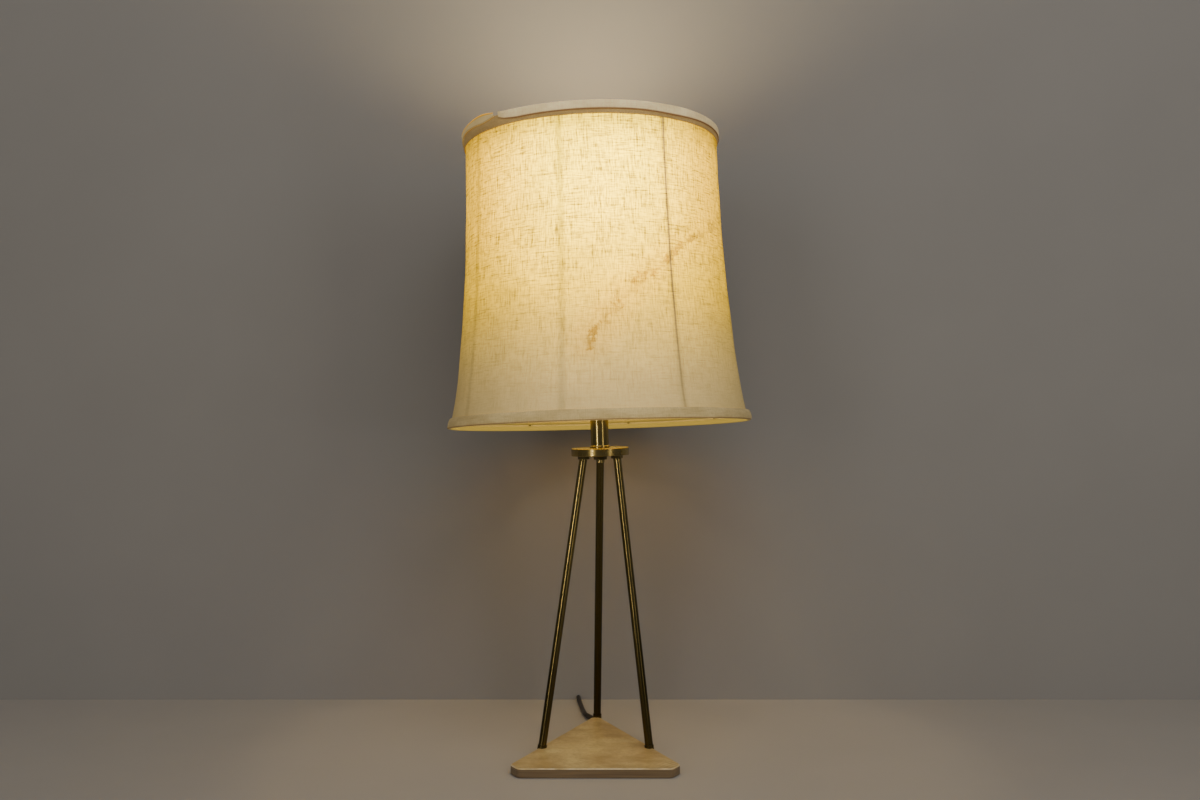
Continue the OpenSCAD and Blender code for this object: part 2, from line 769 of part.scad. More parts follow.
// Top ring and its three-armed spider, brazed into one piece
module shade_spider() {
  ring_mid = shade_r(top_ring_s) - ring_in;
  knee_r = ring_mid - 22;
  knee = washer_gap + arm_r - 0.2;
  reach = [ring_mid - knee_r, top_ring_s - knee];
  color(brass)
    shade_place()
      difference() {
        union() {
          translate([0, 0, top_ring_s])
            rotate_extrude($fn = 96) translate([ring_mid, 0]) circle(r = ring_r);
          translate([0, 0, washer_gap]) cylinder(r = 13, h = spider_t);
          for (a = [90, 210, 330])
            rotate(a) {
              translate([10, 0, knee]) rotate([0, 90, 0]) cylinder(r = arm_r, h = knee_r - 10);
              translate([knee_r, 0, knee]) sphere(r = arm_r);
              translate([knee_r, 0, knee])
                rotate([0, atan2(reach[0], reach[1]), 0]) cylinder(r = arm_r, h = norm(reach));
            }
        }
        translate([0, 0, -over]) cylinder(r = stud_d / 2 + running, h = 10);
        translate([0, 0, washer_gap - 10]) cylinder(r = 30, h = 10);
        translate([0, 0, washer_gap + spider_t]) cylinder(r = 9, h = 10);
      }
}
module shade_bottom_ring() {
  color(brass)
    shade_place()
      translate([0, 0, bottom_ring_s])
        rotate_extrude($fn = 96) translate([shade_r(bottom_ring_s) - ring_in, 0]) circle(r = ring_r);
}
module shade_ribs() {
  line = [for (s = steps(rib_bottom, rib_top, 12)) [shade_r(s) - rib_in, 0, s]];
  color(brass)
    shade_place()
      for (k = [0:rib_count - 1])
        rotate(rib_turn + 360 * k / rib_count) sweep(line, rib_r, 8, [1, 0, 0]);
}
module shade_fabric() {
  low = bottom_s + lip_t + 0.4;
  high = top_s - lip_t - 0.4;
  heights = steps(low, high, 20);
  color(linen)
    shade_place()
      turned(concat(
        [for (s = heights) [shade_r(s), s]],
        [for (i = [20:-1:0]) [shade_r(heights[i]) - fabric_t, heights[i]]]
      ));
}
// A bound edge: a band outside the fabric, a rounded rim, and a short lip inside
module trim(edge, into, h) {
  rim = shade_r(edge);
  foot = edge + into * h; // the outer band's far edge
  lip = edge + into * (lip_t + trim_lip); // the inner lip's far edge
  fold = edge + into * lip_t; // the fabric's own edge comes up to here
  inner = shade_r(fold) - fabric_t - lip_gap;
  lip_r = shade_r(lip) - fabric_t - lip_gap;
  color(trim_cloth)
    shade_place()
      turned(concat(
        [
          [lip_r - lip_t, lip], [inner - lip_t, edge + into * 1.2], [inner, edge + into * 0.2],
          [rim + trim_t - 1.6, edge], [rim + trim_t - 0.4, edge + into * 0.7]
        ],
        [for (s = steps(edge + into * 2, foot - into * 0.8, 5)) [shade_r(s) + trim_t, s]],
        [
          [shade_r(foot) + trim_t - 0.9, foot], [shade_r(foot) + trim_gap, foot],
          [shade_r(fold) + trim_gap, fold], [inner, fold], [lip_r, lip]
        ]
      ));
}
module trim_top() { trim(top_s, -1, trim_top_h); }
module trim_bottom() { trim(bottom_s, 1, trim_bottom_h); }

module lamp_wire() {
  bend = 2.4;
  rear = leg_circle_r;
  down = leg_ways[2] * -1;
  hub_route = concat(
    [for (z = steps(body_foot + holder_z - 0.2, slot_z + bend, 4)) [0, 0, z]],
    [
      [0, bend * 0.3, slot_z + bend * 0.3], [0, bend, slot_z], [0, 10, slot_z],
      [0, rear - bend - 0.6, slot_z], [0, rear - bend * 0.5, slot_z - bend * 0.3]
    ]
  );
  hub_part = [for (p = hub_route) in_hub(p)];
  leg_part = [for (z = steps(hub_z - 2, exit_z + 5, 4)) on_leg(2, z)];
  turn_part = [
    foot_axis + [0, 0, bend * 0.8], foot_axis + exit_way * bend * 0.4 + [0, 0, bend * 0.2],
    foot_axis + exit_way * bend, foot_axis + exit_way * (ferrule_r - shank_len - 0.1)
  ];
  color(black) sweep(concat(hub_part, leg_part, turn_part), 1.3, 8, [1, 0, 0]);
}
module strain_relief() {
  tip = relief_len;
  color(black)
    along(relief_start, exit_way)
      turned([
        [0, -shank_len], [shank_r, -shank_len], [shank_r, 0], [relief_root_r, 0],
        [relief_root_r, 3], [relief_root_r - 0.4, 3.4], [relief_tip_r, tip], [0, tip]
      ]);
}
module cord_run() {
  route = concat([relief_end + exit_way * 0.05, relief_end + exit_way * 4], run_points);
  color(black) sweep(route, cord_r, 10);
}
module cord_coil() {
  color(black) sweep(coil_points, cord_r, 6);
}
module cord_tail() {
  color(black) sweep(tail_points, cord_r, 10);
}
module rounded(size, r) {
  translate([r, r]) offset(r = r) square(size - [2 * r, 2 * r]);
}
module cord_tie() {
  gap = 0.35;
  wall = 0.8;
  low = coil_z - cord_r - gap;
  inner_r = coil_r - coil_pitch * coil_turns / 2 - cord_r + 0.4 - gap;
  size = [coil_r + cord_r + gap - inner_r, coil_pitch + cord_d + 2 * gap];
  color("#3a332a")
    translate([coil_x + inner_r, coil_y + 3, low])
      rotate([90, 0, 0])
        linear_extrude(6)
          difference() {
            translate([-wall, -wall]) rounded(size + [2 * wall, 2 * wall], 3.4, $fn = 24);
            rounded(size, 2.6, $fn = 24);
          }
}
module plug_body() {
  h = plug_h / 2;
  color(black)
    translate(plug_in)
      rotate([0, -90, 0])
        difference() {
          hull() {
            translate([0, 0, 0.05]) cylinder(r = 4.4, h = 1, $fn = 32);
            translate([-h, -8, 8]) cube([plug_h, 16, 1]);
            translate([-h, -12.5, plug_len - 12]) cube([plug_h, 25, 10]);
            translate([-h + 1.5, -11, plug_len - 1]) cube([plug_h - 3, 22, 1]);
          }
          for (y = [-6.35, 6.35]) translate([-3.3, y - 0.85, plug_len - 5]) cube([6.6, 1.7, 10]);
        }
}
module plug_blades() {
  color(brass)
    translate(plug_in)
      rotate([0, -90, 0])
        for (y = [-6.35, 6.35])
          translate([-3.175, y - 0.75, plug_len - 4.9])
            difference() {
              cube([6.35, 1.5, 21.5]);
              translate([3.175, 3, 17.5]) rotate([90, 0, 0]) cylinder(r = 1.6, h = 5);
            }
}

echo(coil_least_gap = coil_apart - cord_d);
echo(run_long = run_length(concat([relief_end], run_points)));
echo(coil_long = run_length(coil_points), tail_long = run_length(tail_points));

wood_base();
leg_left();
leg_right();
leg_rear();
ferrule_left();
ferrule_right();
ferrule_rear();
foot_pins();
hub_cup();
hub_plate();
leg_nuts();
stem_pipe();
stem_washer();
stem_locknut();
neck_collar();
neck_tube();
neck_cap();
harp_saddle();
harp();
harp_sleeve_left();
harp_sleeve_right();
socket_cap();
socket_shell();
socket_liner();
socket_body();
screw_shell();
centre_contact();
switch_shaft();
switch_knob();
bulb_glass();
bulb_cap();
bulb_contact();
finial();
shade_spider();
shade_bottom_ring();
shade_ribs();
shade_fabric();
trim_top();
trim_bottom();
lamp_wire();
strain_relief();
cord_run();
cord_coil();
cord_tail();
cord_tie();
plug_body();
plug_blades();
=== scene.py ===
"""Dresses a tripod table lamp: linen shade, aged brass legs, pale wooden base, cord and stage.

Everything is in metres, Z up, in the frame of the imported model. The lamp's axes lean a little:
the hub and all on it lean to the left, and the harp with its shade leans back as well.
"""

import math

import bpy
import numpy as np
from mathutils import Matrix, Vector


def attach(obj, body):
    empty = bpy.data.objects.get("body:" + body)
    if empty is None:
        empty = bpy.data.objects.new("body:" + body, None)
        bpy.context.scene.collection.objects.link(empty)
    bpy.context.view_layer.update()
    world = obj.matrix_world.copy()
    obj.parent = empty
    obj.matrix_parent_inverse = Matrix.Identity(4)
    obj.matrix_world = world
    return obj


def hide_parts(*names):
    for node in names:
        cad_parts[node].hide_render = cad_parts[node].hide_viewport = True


bl_info = {
    "name": "Tripod Table Lamp",
    "version": (1, 0, 0),
    "blender": (4, 5, 0),
    "location": "3D View > Sidebar > Lamp",
    "description": "Builds the soft pieces, finishes, cord and stage of a tripod table lamp",
    "category": "Object",
}

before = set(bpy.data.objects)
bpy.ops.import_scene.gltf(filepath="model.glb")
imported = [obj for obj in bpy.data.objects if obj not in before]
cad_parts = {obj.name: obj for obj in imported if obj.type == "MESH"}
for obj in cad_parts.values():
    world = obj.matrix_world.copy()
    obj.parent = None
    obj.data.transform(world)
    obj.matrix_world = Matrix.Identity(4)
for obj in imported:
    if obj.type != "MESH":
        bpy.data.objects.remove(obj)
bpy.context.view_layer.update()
MM = 0.001


# ---------------------------------------------------------------- places and shapes

def turn_about(axis, angle):
    """Turning matrix about X, Y or Z by an angle in radians: the one about Z with its rows and
    columns moved on."""
    c, s = math.cos(angle), math.sin(angle)
    return np.roll([[c, -s, 0], [s, c, 0], [0, 0, 1]], ("ZXY".index(axis),) * 2, (0, 1))


# The leans in degrees and the heights in mm are those of the part's solids
SIDE_LEAN, BACK_LEAN = -1.75, -2.75
HOLDER_OVER_HUB, SEAT_OVER_HOLDER = 182.2, 179.55
HUB_TURN = turn_about("Y", math.radians(SIDE_LEAN))
HUB_AT = np.array([5.5, 0, 350]) * MM
HOLDER_AT = HUB_AT + HUB_TURN @ [0, 0, HOLDER_OVER_HUB] * MM
HARP_TURN = HUB_TURN @ turn_about("X", math.radians(BACK_LEAN))
SHADE_AT = HOLDER_AT + HARP_TURN @ [0, 0, SEAT_OVER_HOLDER] * MM

# The shade's ends over its seat and its height; its linen ends a little inside its bindings
SHADE_TOP, SHADE_FOOT, SHADE_HEIGHT = 0.024, -0.3255, 0.3495
LINEN_TOP, LINEN_FOOT, LINEN_THICK = 0.0224, -0.3239, 0.0009
# Mean radii at which lengths round the linen and round its bindings are taken
LINEN_R, BINDING_R = 0.163, 0.16
# How far the loose end of the top binding stands up, unless the user changes it
CURL_RISE = 0.0048


def in_shade(points):
    """Points given from the shade's seat, moved into the lamp's frame."""
    return points @ HARP_TURN.T + SHADE_AT


def in_harp(points):
    """Points given from the harp's saddle, moved into the lamp's frame."""
    return points @ HARP_TURN.T + HOLDER_AT


def in_holder(points):
    """Points given from the lamp holder's foot, moved into the lamp's frame."""
    return points @ HUB_TURN.T + HOLDER_AT


def shade_radius(s):
    """Radius of the fabric at a height s over the seat, in metres: a bell that opens with the
    square of the way down, and kicks out at its foot with the twelfth power."""
    t = np.clip((SHADE_TOP - s) / SHADE_HEIGHT, 0, 1)
    return 0.1525 + 0.027 * (0.85 * t ** 2 + 0.15 * t ** 12)


def smooth_step(low, high, x):
    """0 below low, 1 above high, and a cubic ease between them."""
    t = np.clip((x - low) / (high - low), 0, 1)
    return t * t * (3 - 2 * t)


def wobble(x, seeds):
    """A sum of sines with whole numbers of waves round a turn of x radians, about -1 to 1."""
    out = np.zeros_like(x, dtype=float)
    for waves, shift, weight in seeds:
        out += weight * np.sin(waves * x + shift)
    return out


def grid_quads(rows, cols, close_rows=False):
    """Corner numbers of a grid's quads, row by row. The last column joins the first one, and
    with close_rows the last row does too."""
    r = np.arange(rows if close_rows else rows - 1)
    r, c = np.meshgrid(r, np.arange(cols), indexing="ij")
    r2, c2 = (r + 1) % rows, (c + 1) % cols
    quads = np.stack([r * cols + c, r * cols + c2, r2 * cols + c2, r2 * cols + c], axis=-1)
    return quads.reshape(-1, 4)


def put(name, data, at=(0, 0, 0)):
    """A new object in the scene."""
    thing = bpy.data.objects.new(name, data)
    thing.location = at
    bpy.context.scene.collection.objects.link(thing)
    return thing


def make_piece(name, points, quads, maps=None, marks=None, caps=(), flip=False):
    """A smooth mesh object from arrays. points are (..., 3), quads (m, 4); maps gives each
    quad's four corners on the cloth, (m, 4, 2), in metres; marks are named values that are spread
    over the points; caps are rings of point numbers that close an end with one face."""
    mesh = bpy.data.meshes.new(name)
    quads = quads[:, ::-1] if flip else quads
    faces = quads.tolist() + [ring.tolist() for ring in caps]
    mesh.from_pydata(points.reshape(-1, 3).tolist(), [], faces)
    mesh.polygons.foreach_set("use_smooth", np.ones(len(faces), dtype=bool))
    if maps is not None:
        maps = maps[:, ::-1] if flip else maps
        layer = mesh.uv_layers.new(name="Cloth")
        flat = np.zeros((len(mesh.loops), 2))
        flat[:maps.shape[0] * 4] = maps.reshape(-1, 2)
        layer.data.foreach_set("uv", flat.ravel())
    for mark, values in (marks or {}).items():
        attribute = mesh.attributes.new(mark, "FLOAT", "POINT")
        values = np.broadcast_to(values, points.shape[:-1])
        attribute.data.foreach_set("value", values.ravel().astype(np.float32))
    mesh.validate()
    mesh.update()
    return put(name, mesh)


def quad_maps(u, v):
    """Places on the cloth for each quad of a closed grid: u grows along the columns and v along
    the rows, and the last column ends one step past its start instead of jumping back."""
    u = np.concatenate([u, [2 * u[-1] - u[-2]]])
    uu, vv = np.meshgrid(u, v)
    q = np.stack([uu, vv], axis=-1)
    out = np.stack([q[:-1, :-1], q[:-1, 1:], q[1:, 1:], q[1:, :-1]], axis=2)
    return out.reshape(-1, 4, 2)


def sweep_rings(path, radius, sides, up):
    """Rings round a path, each square to the path's way there and starting at the side where up
    points once it's made square to that way too."""
    path = np.asarray(path, dtype=float)
    tangent = np.gradient(path, axis=0)
    tangent /= np.linalg.norm(tangent, axis=1, keepdims=True)
    up = np.broadcast_to(np.asarray(up, dtype=float), path.shape)
    first = up - np.sum(up * tangent, axis=1, keepdims=True) * tangent
    first /= np.linalg.norm(first, axis=1, keepdims=True)
    second = np.cross(tangent, first)
    a = np.arange(sides) * 2 * np.pi / sides
    ring = first[:, None] * np.cos(a)[None, :, None] + second[:, None] * np.sin(a)[None, :, None]
    return path[:, None] + ring * radius


def end_caps(rows, sides, first=0):
    """The rings of point numbers that close both ends of a tube whose points start at first."""
    ring = np.arange(sides) + first
    return [ring[::-1], ring + (rows - 1) * sides]


def sweep_piece(name, path, radius, sides):
    """A tube along a path, with flat ends, mapped by the distance round and along it."""
    rings = sweep_rings(path, radius, sides, (0, 0, 1))
    rows = len(rings)
    along = np.concatenate([[0], np.cumsum(np.linalg.norm(np.diff(path, axis=0), axis=1))])
    maps = quad_maps(np.arange(sides) * 2 * np.pi * radius / sides, along)
    quads = grid_quads(rows, sides)
    return make_piece(name, rings, quads, maps, caps=end_caps(rows, sides))


def through(points, step):
    """A smooth line through points: a cubic between each pair whose slopes come from the
    neighbours, with one new point for every step of length."""
    p = np.asarray(points, dtype=float)
    p = np.vstack([2 * p[0] - p[1], p, 2 * p[-1] - p[-2]])
    out = []
    for a, b, c, d in zip(p[:-3], p[1:-2], p[2:-1], p[3:]):
        n = max(2, int(np.ceil(np.linalg.norm(c - b) / step)))
        t = (np.arange(n) / n)[:, None]
        out.append(0.5 * (2 * b + (c - a) * t + (2 * a - 5 * b + 4 * c - d) * t ** 2
                          + (3 * b - a - 3 * c + d) * t ** 3))
    return np.vstack(out + [p[-2][None]])


# ---------------------------------------------------------------- finishes

def tone(colour, share):
    """A colour made lighter or darker."""
    return tuple(share * c for c in colour)


class Finish:
    """A material with short calls: add() makes a node and sets or joins its sockets."""

    def __init__(self, name, **sockets):
        self.material = bpy.data.materials.new(name)
        self.material.use_nodes = True
        self.tree = self.material.node_tree
        self.shader = self.tree.nodes["Principled BSDF"]
        self.set(self.shader, sockets)

    def set(self, node, sockets):
        for key, value in sockets.items():
            socket = node.inputs[key if isinstance(key, int) else key.replace("_", " ")]
            if isinstance(value, bpy.types.NodeSocket):
                self.tree.links.new(value, socket)
            elif socket.type == "RGBA":
                socket.default_value = (*value, 1)
            else:
                socket.default_value = value

    def add(self, kind, inputs=None, **settings):
        node = self.tree.nodes.new("ShaderNode" + kind)
        for key, value in settings.items():
            setattr(node, key, value)
        self.set(node, inputs or {})
        return node

    def shade(self, **sockets):
        self.set(self.shader, sockets)

    def here(self, turned=None):
        """Place in the lamp's frame, or in one turned by the given angles."""
        place = self.add("TexCoord").outputs["Object"]
        if turned is None:
            return place
        return self.add("Mapping", {"Vector": place, "Rotation": turned}).outputs[0]

    def cloth(self):
        """Place on the cloth, in metres."""
        return self.add("UVMap", uv_map="Cloth").outputs["UV"]

    def mark(self, name):
        return self.add("Attribute", attribute_name=name).outputs["Fac"]

    def stretched(self, place, scale, shift=(0, 0, 0)):
        return self.add("Mapping", {"Vector": place, "Scale": scale, "Location": shift}).outputs[0]

    def noise(self, place, scale, detail, rough=0.5):
        return self.add("TexNoise", {"Vector": place, "Scale": scale, "Detail": detail,
                                     "Roughness": rough}).outputs["Fac"]

    def field(self, place, scale, detail, rough=0.5, shift=(0, 0, 0)):
        """Noise with about so many clumps to a metre along each direction of a place."""
        return self.noise(self.stretched(place, scale, shift), 1, detail, rough)

    def calc(self, kind, a, b=0.0, clamp=False):
        return self.add("Math", {0: a, 1: b}, operation=kind, use_clamp=clamp).outputs[0]

    def times(self, a, b, clamp=False):
        return self.calc("MULTIPLY", a, b, clamp)

    def plus(self, a, b):
        return self.calc("ADD", a, b)

    def rest(self, value, clamp=False):
        """What a value lacks to one."""
        return self.calc("SUBTRACT", 1.0, value, clamp)

    def spread(self, value, low, high, to_low=0.0, to_high=1.0, ease="LINEAR"):
        """value brought from low..high to to_low..to_high."""
        return self.add("MapRange", {0: value, 1: low, 2: high, 3: to_low, 4: to_high},
                        interpolation_type=ease).outputs[0]

    def blend(self, share, a, b, kind="MIX"):
        node = self.add("Mix", data_type="RGBA", blend_type=kind)
        self.set(node, {0: share, 6: a, 7: b})
        return node.outputs[2]

    def stained(self, colour, *stains):
        """A colour under stains: each a value, where it starts and is full, its share there and
        its colour."""
        for value, low, high, share, stain in stains:
            colour = self.blend(self.spread(value, low, high, 0.0, share), colour, stain)
        return colour

    def steps(self, value, stops):
        """Colours along a value, each stop a place and a colour."""
        ramp = self.add("ValToRGB", {0: value})
        elements = ramp.color_ramp.elements
        while len(elements) < len(stops):
            elements.new(0.5)
        for element, (at, colour) in zip(elements, stops):
            element.position = at
            element.color = (*colour, 1)
        return ramp.outputs[0]

    def curve(self, value, points):
        """A smooth curve through points, read at value."""
        node = self.add("FloatCurve", {"Value": value})
        line = node.mapping.curves[0]
        for at, level in points[1:-1]:
            line.points.new(at, level)
        line.points[0].location = points[0]
        line.points[-1].location = points[-1]
        node.mapping.update()
        return node.outputs[0]

    def rough(self, height, distance, strength):
        inputs = {"Height": height, "Distance": distance, "Strength": strength}
        return self.add("Bump", inputs).outputs[0]


def linen_finish(colours):
    """Slubby linen lit from within: thick and thin threads both ways; a glow painted as emission,
    strongest near the bulb's height, weaker at the flanks and dimmer on the lining; painted shade
    that darkens the cloth's colour at the flanks; towards the top, painted light that turns the
    cloth's colour darker and yellower; soft bands of painted shadow over the frame's wires; a stitched
    seam that darkens the cloth and, as painted shadow, its glow; and a tide mark."""
    f = Finish("shade_linen", Roughness=0.85, Sheen_Weight=0.06, Sheen_Roughness=0.4,
               Specular_IOR_Level=0.06)
    cloth = f.cloth()
    # Clumps of thick upright threads next to clumps of thick cross threads
    clump = f.spread(f.field(cloth, (34, 30, 1), 2, shift=(4, 6, 0)), 0.38, 0.62)
    up = f.field(cloth, (620, 74, 1), 2, 0.6)
    over = f.field(cloth, (78, 640, 1), 2, 0.6, (3, 7, 0))
    long_over = f.field(cloth, (30, 520, 1), 1, shift=(6, 2, 0))
    long_up = f.field(cloth, (520, 30, 1), 1, shift=(1, 9, 0))
    fine_up = f.field(cloth, (1500, 150, 1), 1, shift=(5, 1, 0))
    fine_over = f.field(cloth, (150, 1500, 1), 1, shift=(2, 9, 0))
    thick = f.plus(f.times(f.spread(up, 0.44, 0.60), f.spread(clump, 0, 1, 0.7, 1.35)),
                   f.times(f.spread(over, 0.47, 0.64), f.spread(clump, 0, 1, 1.2, 0.6)))
    thick = f.plus(thick, f.plus(f.spread(long_over, 0.56, 0.68), f.spread(long_up, 0.56, 0.68)))
    thin = f.plus(f.spread(fine_up, 0.35, 0.65), f.spread(fine_over, 0.35, 0.65))
    weave = f.plus(f.times(thick, 0.46), f.times(thin, 0.25))
    height = f.mark("height")
    # The threads stand out where light comes through, and hardly at the shade's foot
    shown = f.spread(height, -0.315, -0.12, 0.10, 1.0)
    open_share = f.times(f.calc("SUBTRACT", 0.66, weave), shown)
    open_share = f.calc("MAXIMUM", f.plus(open_share, 1.0), 0.24)
    patches = f.field(cloth, (16, 16, 1), 3, 0.6)
    # The tide mark wanders a little from its line, and breaks into spots
    drift = f.field(cloth, (90, 90, 1), 4, 0.7, (1, 4, 0))
    away = f.plus(f.mark("tide"), f.spread(drift, 0.3, 0.7, -0.010, 0.010))
    away = f.calc("ABSOLUTE", away)
    broken = f.spread(f.field(cloth, (46, 46, 1), 2, shift=(8, 2, 0)), 0.36, 0.56, 0.15, 1.0)
    tide = f.times(f.spread(away, 0.0070, 0.0015), broken)
    halo = f.times(f.spread(away, 0.030, 0.0), 0.36)
    stain = f.calc("MAXIMUM", tide, halo)
    # Painted shadows in the glow: soft bands over the wires behind the cloth, and a line along the
    # seam that is stitched over one of them; the seam also darkens the cloth's own colour, less towards
    # the foot
    wire = f.spread(f.mark("wire"), 0.0075, 0.0, 0.0, 1.0, "SMOOTHSTEP")
    seam = f.times(f.spread(f.mark("seam"), 0.0019, 0.0004),
                   f.spread(height, SHADE_FOOT, -0.20, 0.35, 1.0))
    share = f.spread(height, SHADE_FOOT, SHADE_TOP)
    # The glow is painted as emission: the bulb's light through the cloth by height, falling off from
    # the front
    glow = f.curve(share, [
        (0.0, 0.070), (0.087, 0.088), (0.21, 0.16), (0.305, 0.25), (0.396, 0.40), (0.488, 0.56),
        (0.582, 0.67), (0.705, 0.82), (0.782, 0.87), (0.86, 0.82), (0.955, 0.43), (1.0, 0.33)])
    glow = f.times(glow, f.mark("front"))
    # The lining gets a dimmer painted glow of its own
    dim = f.plus(f.times(glow, 0.30), f.spread(share, 0.02, 0.25, 0.028, 0.095))
    inside = f.mark("inside")
    glow = f.plus(f.times(dim, inside), f.times(glow, f.rest(inside)))
    glow = f.times(glow, f.spread(patches, 0.3, 0.7, 0.88, 1.12))
    glow = f.times(glow, open_share)
    for shadow, most in ((wire, 0.33), (seam, 0.76), (tide, 0.50)):
        glow = f.times(glow, f.rest(f.times(shadow, most)))
    # Painted shade at the flanks: the cloth's colour and its glow turn darker and more orange there
    flank = f.times(f.spread(f.mark("front"), 0.90, 0.38), f.spread(share, 0.28, 0.62))
    base = f.blend(f.times(f.spread(weave, 0.1, 1.0), shown), colours.linen, colours.linen_thread)
    # Painted light: towards the top, where the glow is strongest, the cloth's own colour turns darker
    # and yellower
    base = f.blend(f.spread(share, 0.18, 0.55, 0.0, 0.95), base, (0.42, 0.29, 0.0))
    for value, most, colour in ((flank, 0.8, (0.40, 0.25, 0.02)), (stain, 0.75, (0.45, 0.27, 0.06)),
                                (seam, 0.6, (0.25, 0.18, 0.13))):
        base = f.blend(f.times(value, most), base, colour)
    base = f.blend(inside, base, (0.50, 0.40, 0.10))
    warm = f.steps(share, [
        (0.05, (1.0, 0.67, 0.26)), (0.21, (1.0, 0.62, 0.12)), (0.31, (1.0, 0.59, 0.05)),
        (0.42, (1.0, 0.58, 0.0)), (0.60, (1.0, 0.62, 0.0)), (0.80, (1.0, 0.65, 0.0))])
    warm = f.blend(f.times(f.spread(weave, 0.5, 1.3, 0.0, 0.72), shown), warm, (1.0, 0.575, 0.03))
    warm = f.blend(f.times(stain, 0.9), warm, (1.0, 0.45, 0.0))
    warm = f.blend(flank, warm, (1.0, 0.53, 0.0))
    warm = f.blend(f.times(seam, 0.9), warm, (1.0, 0.58, 0.14))
    warm = f.blend(inside, warm, (1.0, 0.72, 0.26))
    bump = f.rough(f.plus(thick, thin), 0.00030, 0.5)
    f.shade(Base_Color=base, Emission_Color=warm,
            Emission_Strength=f.times(glow, colours.glow), Normal=bump)
    return f.material


def trim_finish(name, light, dark, glow):
    """Folded linen band: a fine weave, soiled a little darker in patches, dark brown along the
    cover's foot and over its back, and painted shade along the underside of the bottom binding's roll.
    A glow painted as emission lights it from the front to the flanks and where it turns inwards;
    the cover's loose end is darker, as painted shade, and its lit fold glows more orange."""
    f = Finish(name, Roughness=0.9, Sheen_Weight=0.1, Sheen_Roughness=0.4, Sheen_Tint=(1.0, 0.85, 0.55))
    cloth = f.cloth()
    over = f.field(cloth, (60, 900, 1), 2)
    up = f.field(cloth, (900, 60, 1), 2, shift=(4, 2, 0))
    pile = f.field(cloth, (420, 420, 1), 3, 0.7, (2, 2, 0))
    dirt = f.field(cloth, (22, 60, 1), 4, 0.6, (7, 3, 0))
    weave = f.plus(over, up)
    colour = f.stained(light, (dirt, 0.40, 0.70, 1.0, dark),
                       (weave, 0.8, 1.25, 0.25, tone(dark, 0.5)),
                       (pile, 0.5, 0.75, 0.30, tone(dark, 0.6)))
    # A brown line along the cover's foot and over its back, and painted shade along the underside of
    # the bottom binding's roll
    edge = f.spread(f.mark("edge"), 0.0005, 0.0019, 0.92, 0.0)
    colour = f.blend(edge, colour, (0.11, 0.045, 0.018))
    inside = f.mark("inside")
    loose = f.mark("loose")
    # The loose end of the cover is darker: painted shade where it leans out; its fold glows more orange
    colour = f.blend(f.times(loose, 0.75), colour, (0.40, 0.31, 0.16))
    colour = f.blend(f.times(inside, 0.9, clamp=True), colour, (0.24, 0.19, 0.035))
    through_it = f.blend(loose, (1.0, 0.68, 0.11), (1.0, 0.47, 0.03))
    warm = f.blend(inside, f.blend(1.0, colour, (1.0, 0.88, 0.60), "MULTIPLY"), through_it)
    # The glow painted as emission: from the front to the flanks outside, and evenly where the band
    # turns inwards
    lit = f.times(f.rest(inside, clamp=True), f.times(f.mark("front"), glow))
    lit = f.plus(lit, f.times(inside, 0.37))
    f.shade(Base_Color=colour, Emission_Color=warm, Emission_Strength=lit,
            Normal=f.rough(f.plus(weave, pile), 0.0004, 0.5))
    return f.material


def aged_brass(name, bright, brown, worn, smooth, along=(1, 1, 0.2), low=1.0, turned=None):
    """Old lacquered brass: clear metal where it is handled, brown-green bloom elsewhere, with
    fine drawing lines along the piece and small dark spots. low is the share of its colour that
    is left at the table: painted shade that darkens the piece towards the bottom."""
    f = Finish(name, Metallic=1.0)
    here = f.here(turned)
    bloom = f.field(here, tuple(42 * a for a in along), 5, 0.62)
    spots = f.field(here, (300, 300, 300 * along[2]), 3, 0.6)
    lines = f.field(here, tuple(1400 * a * a for a in along), 2)
    share = f.spread(bloom, worn - 0.16, worn + 0.16)
    colour = f.blend(share, bright, brown)
    colour = f.stained(colour, (spots, 0.60, 0.76, 0.35, tone(brown, 0.5)))
    # Painted shade: darker towards the table, away from the light on the top of the piece
    if low < 1:
        up = f.add("SeparateXYZ", {0: f.here()}).outputs["Z"]
        dark = f.spread(up, 0.08, 0.34, 1.0 - low, 0.0)
        colour = f.blend(dark, colour, tone(brown, 0.25))
    rough = f.plus(f.spread(share, 0, 1, smooth, smooth + 0.07), f.spread(spots, 0.55, 0.75, 0, 0.08))
    f.shade(Base_Color=colour, Roughness=f.plus(rough, f.spread(lines, 0.3, 0.7, -0.02, 0.02)),
            Normal=f.rough(f.plus(lines, spots), 0.000003, 0.25))
    return f.material


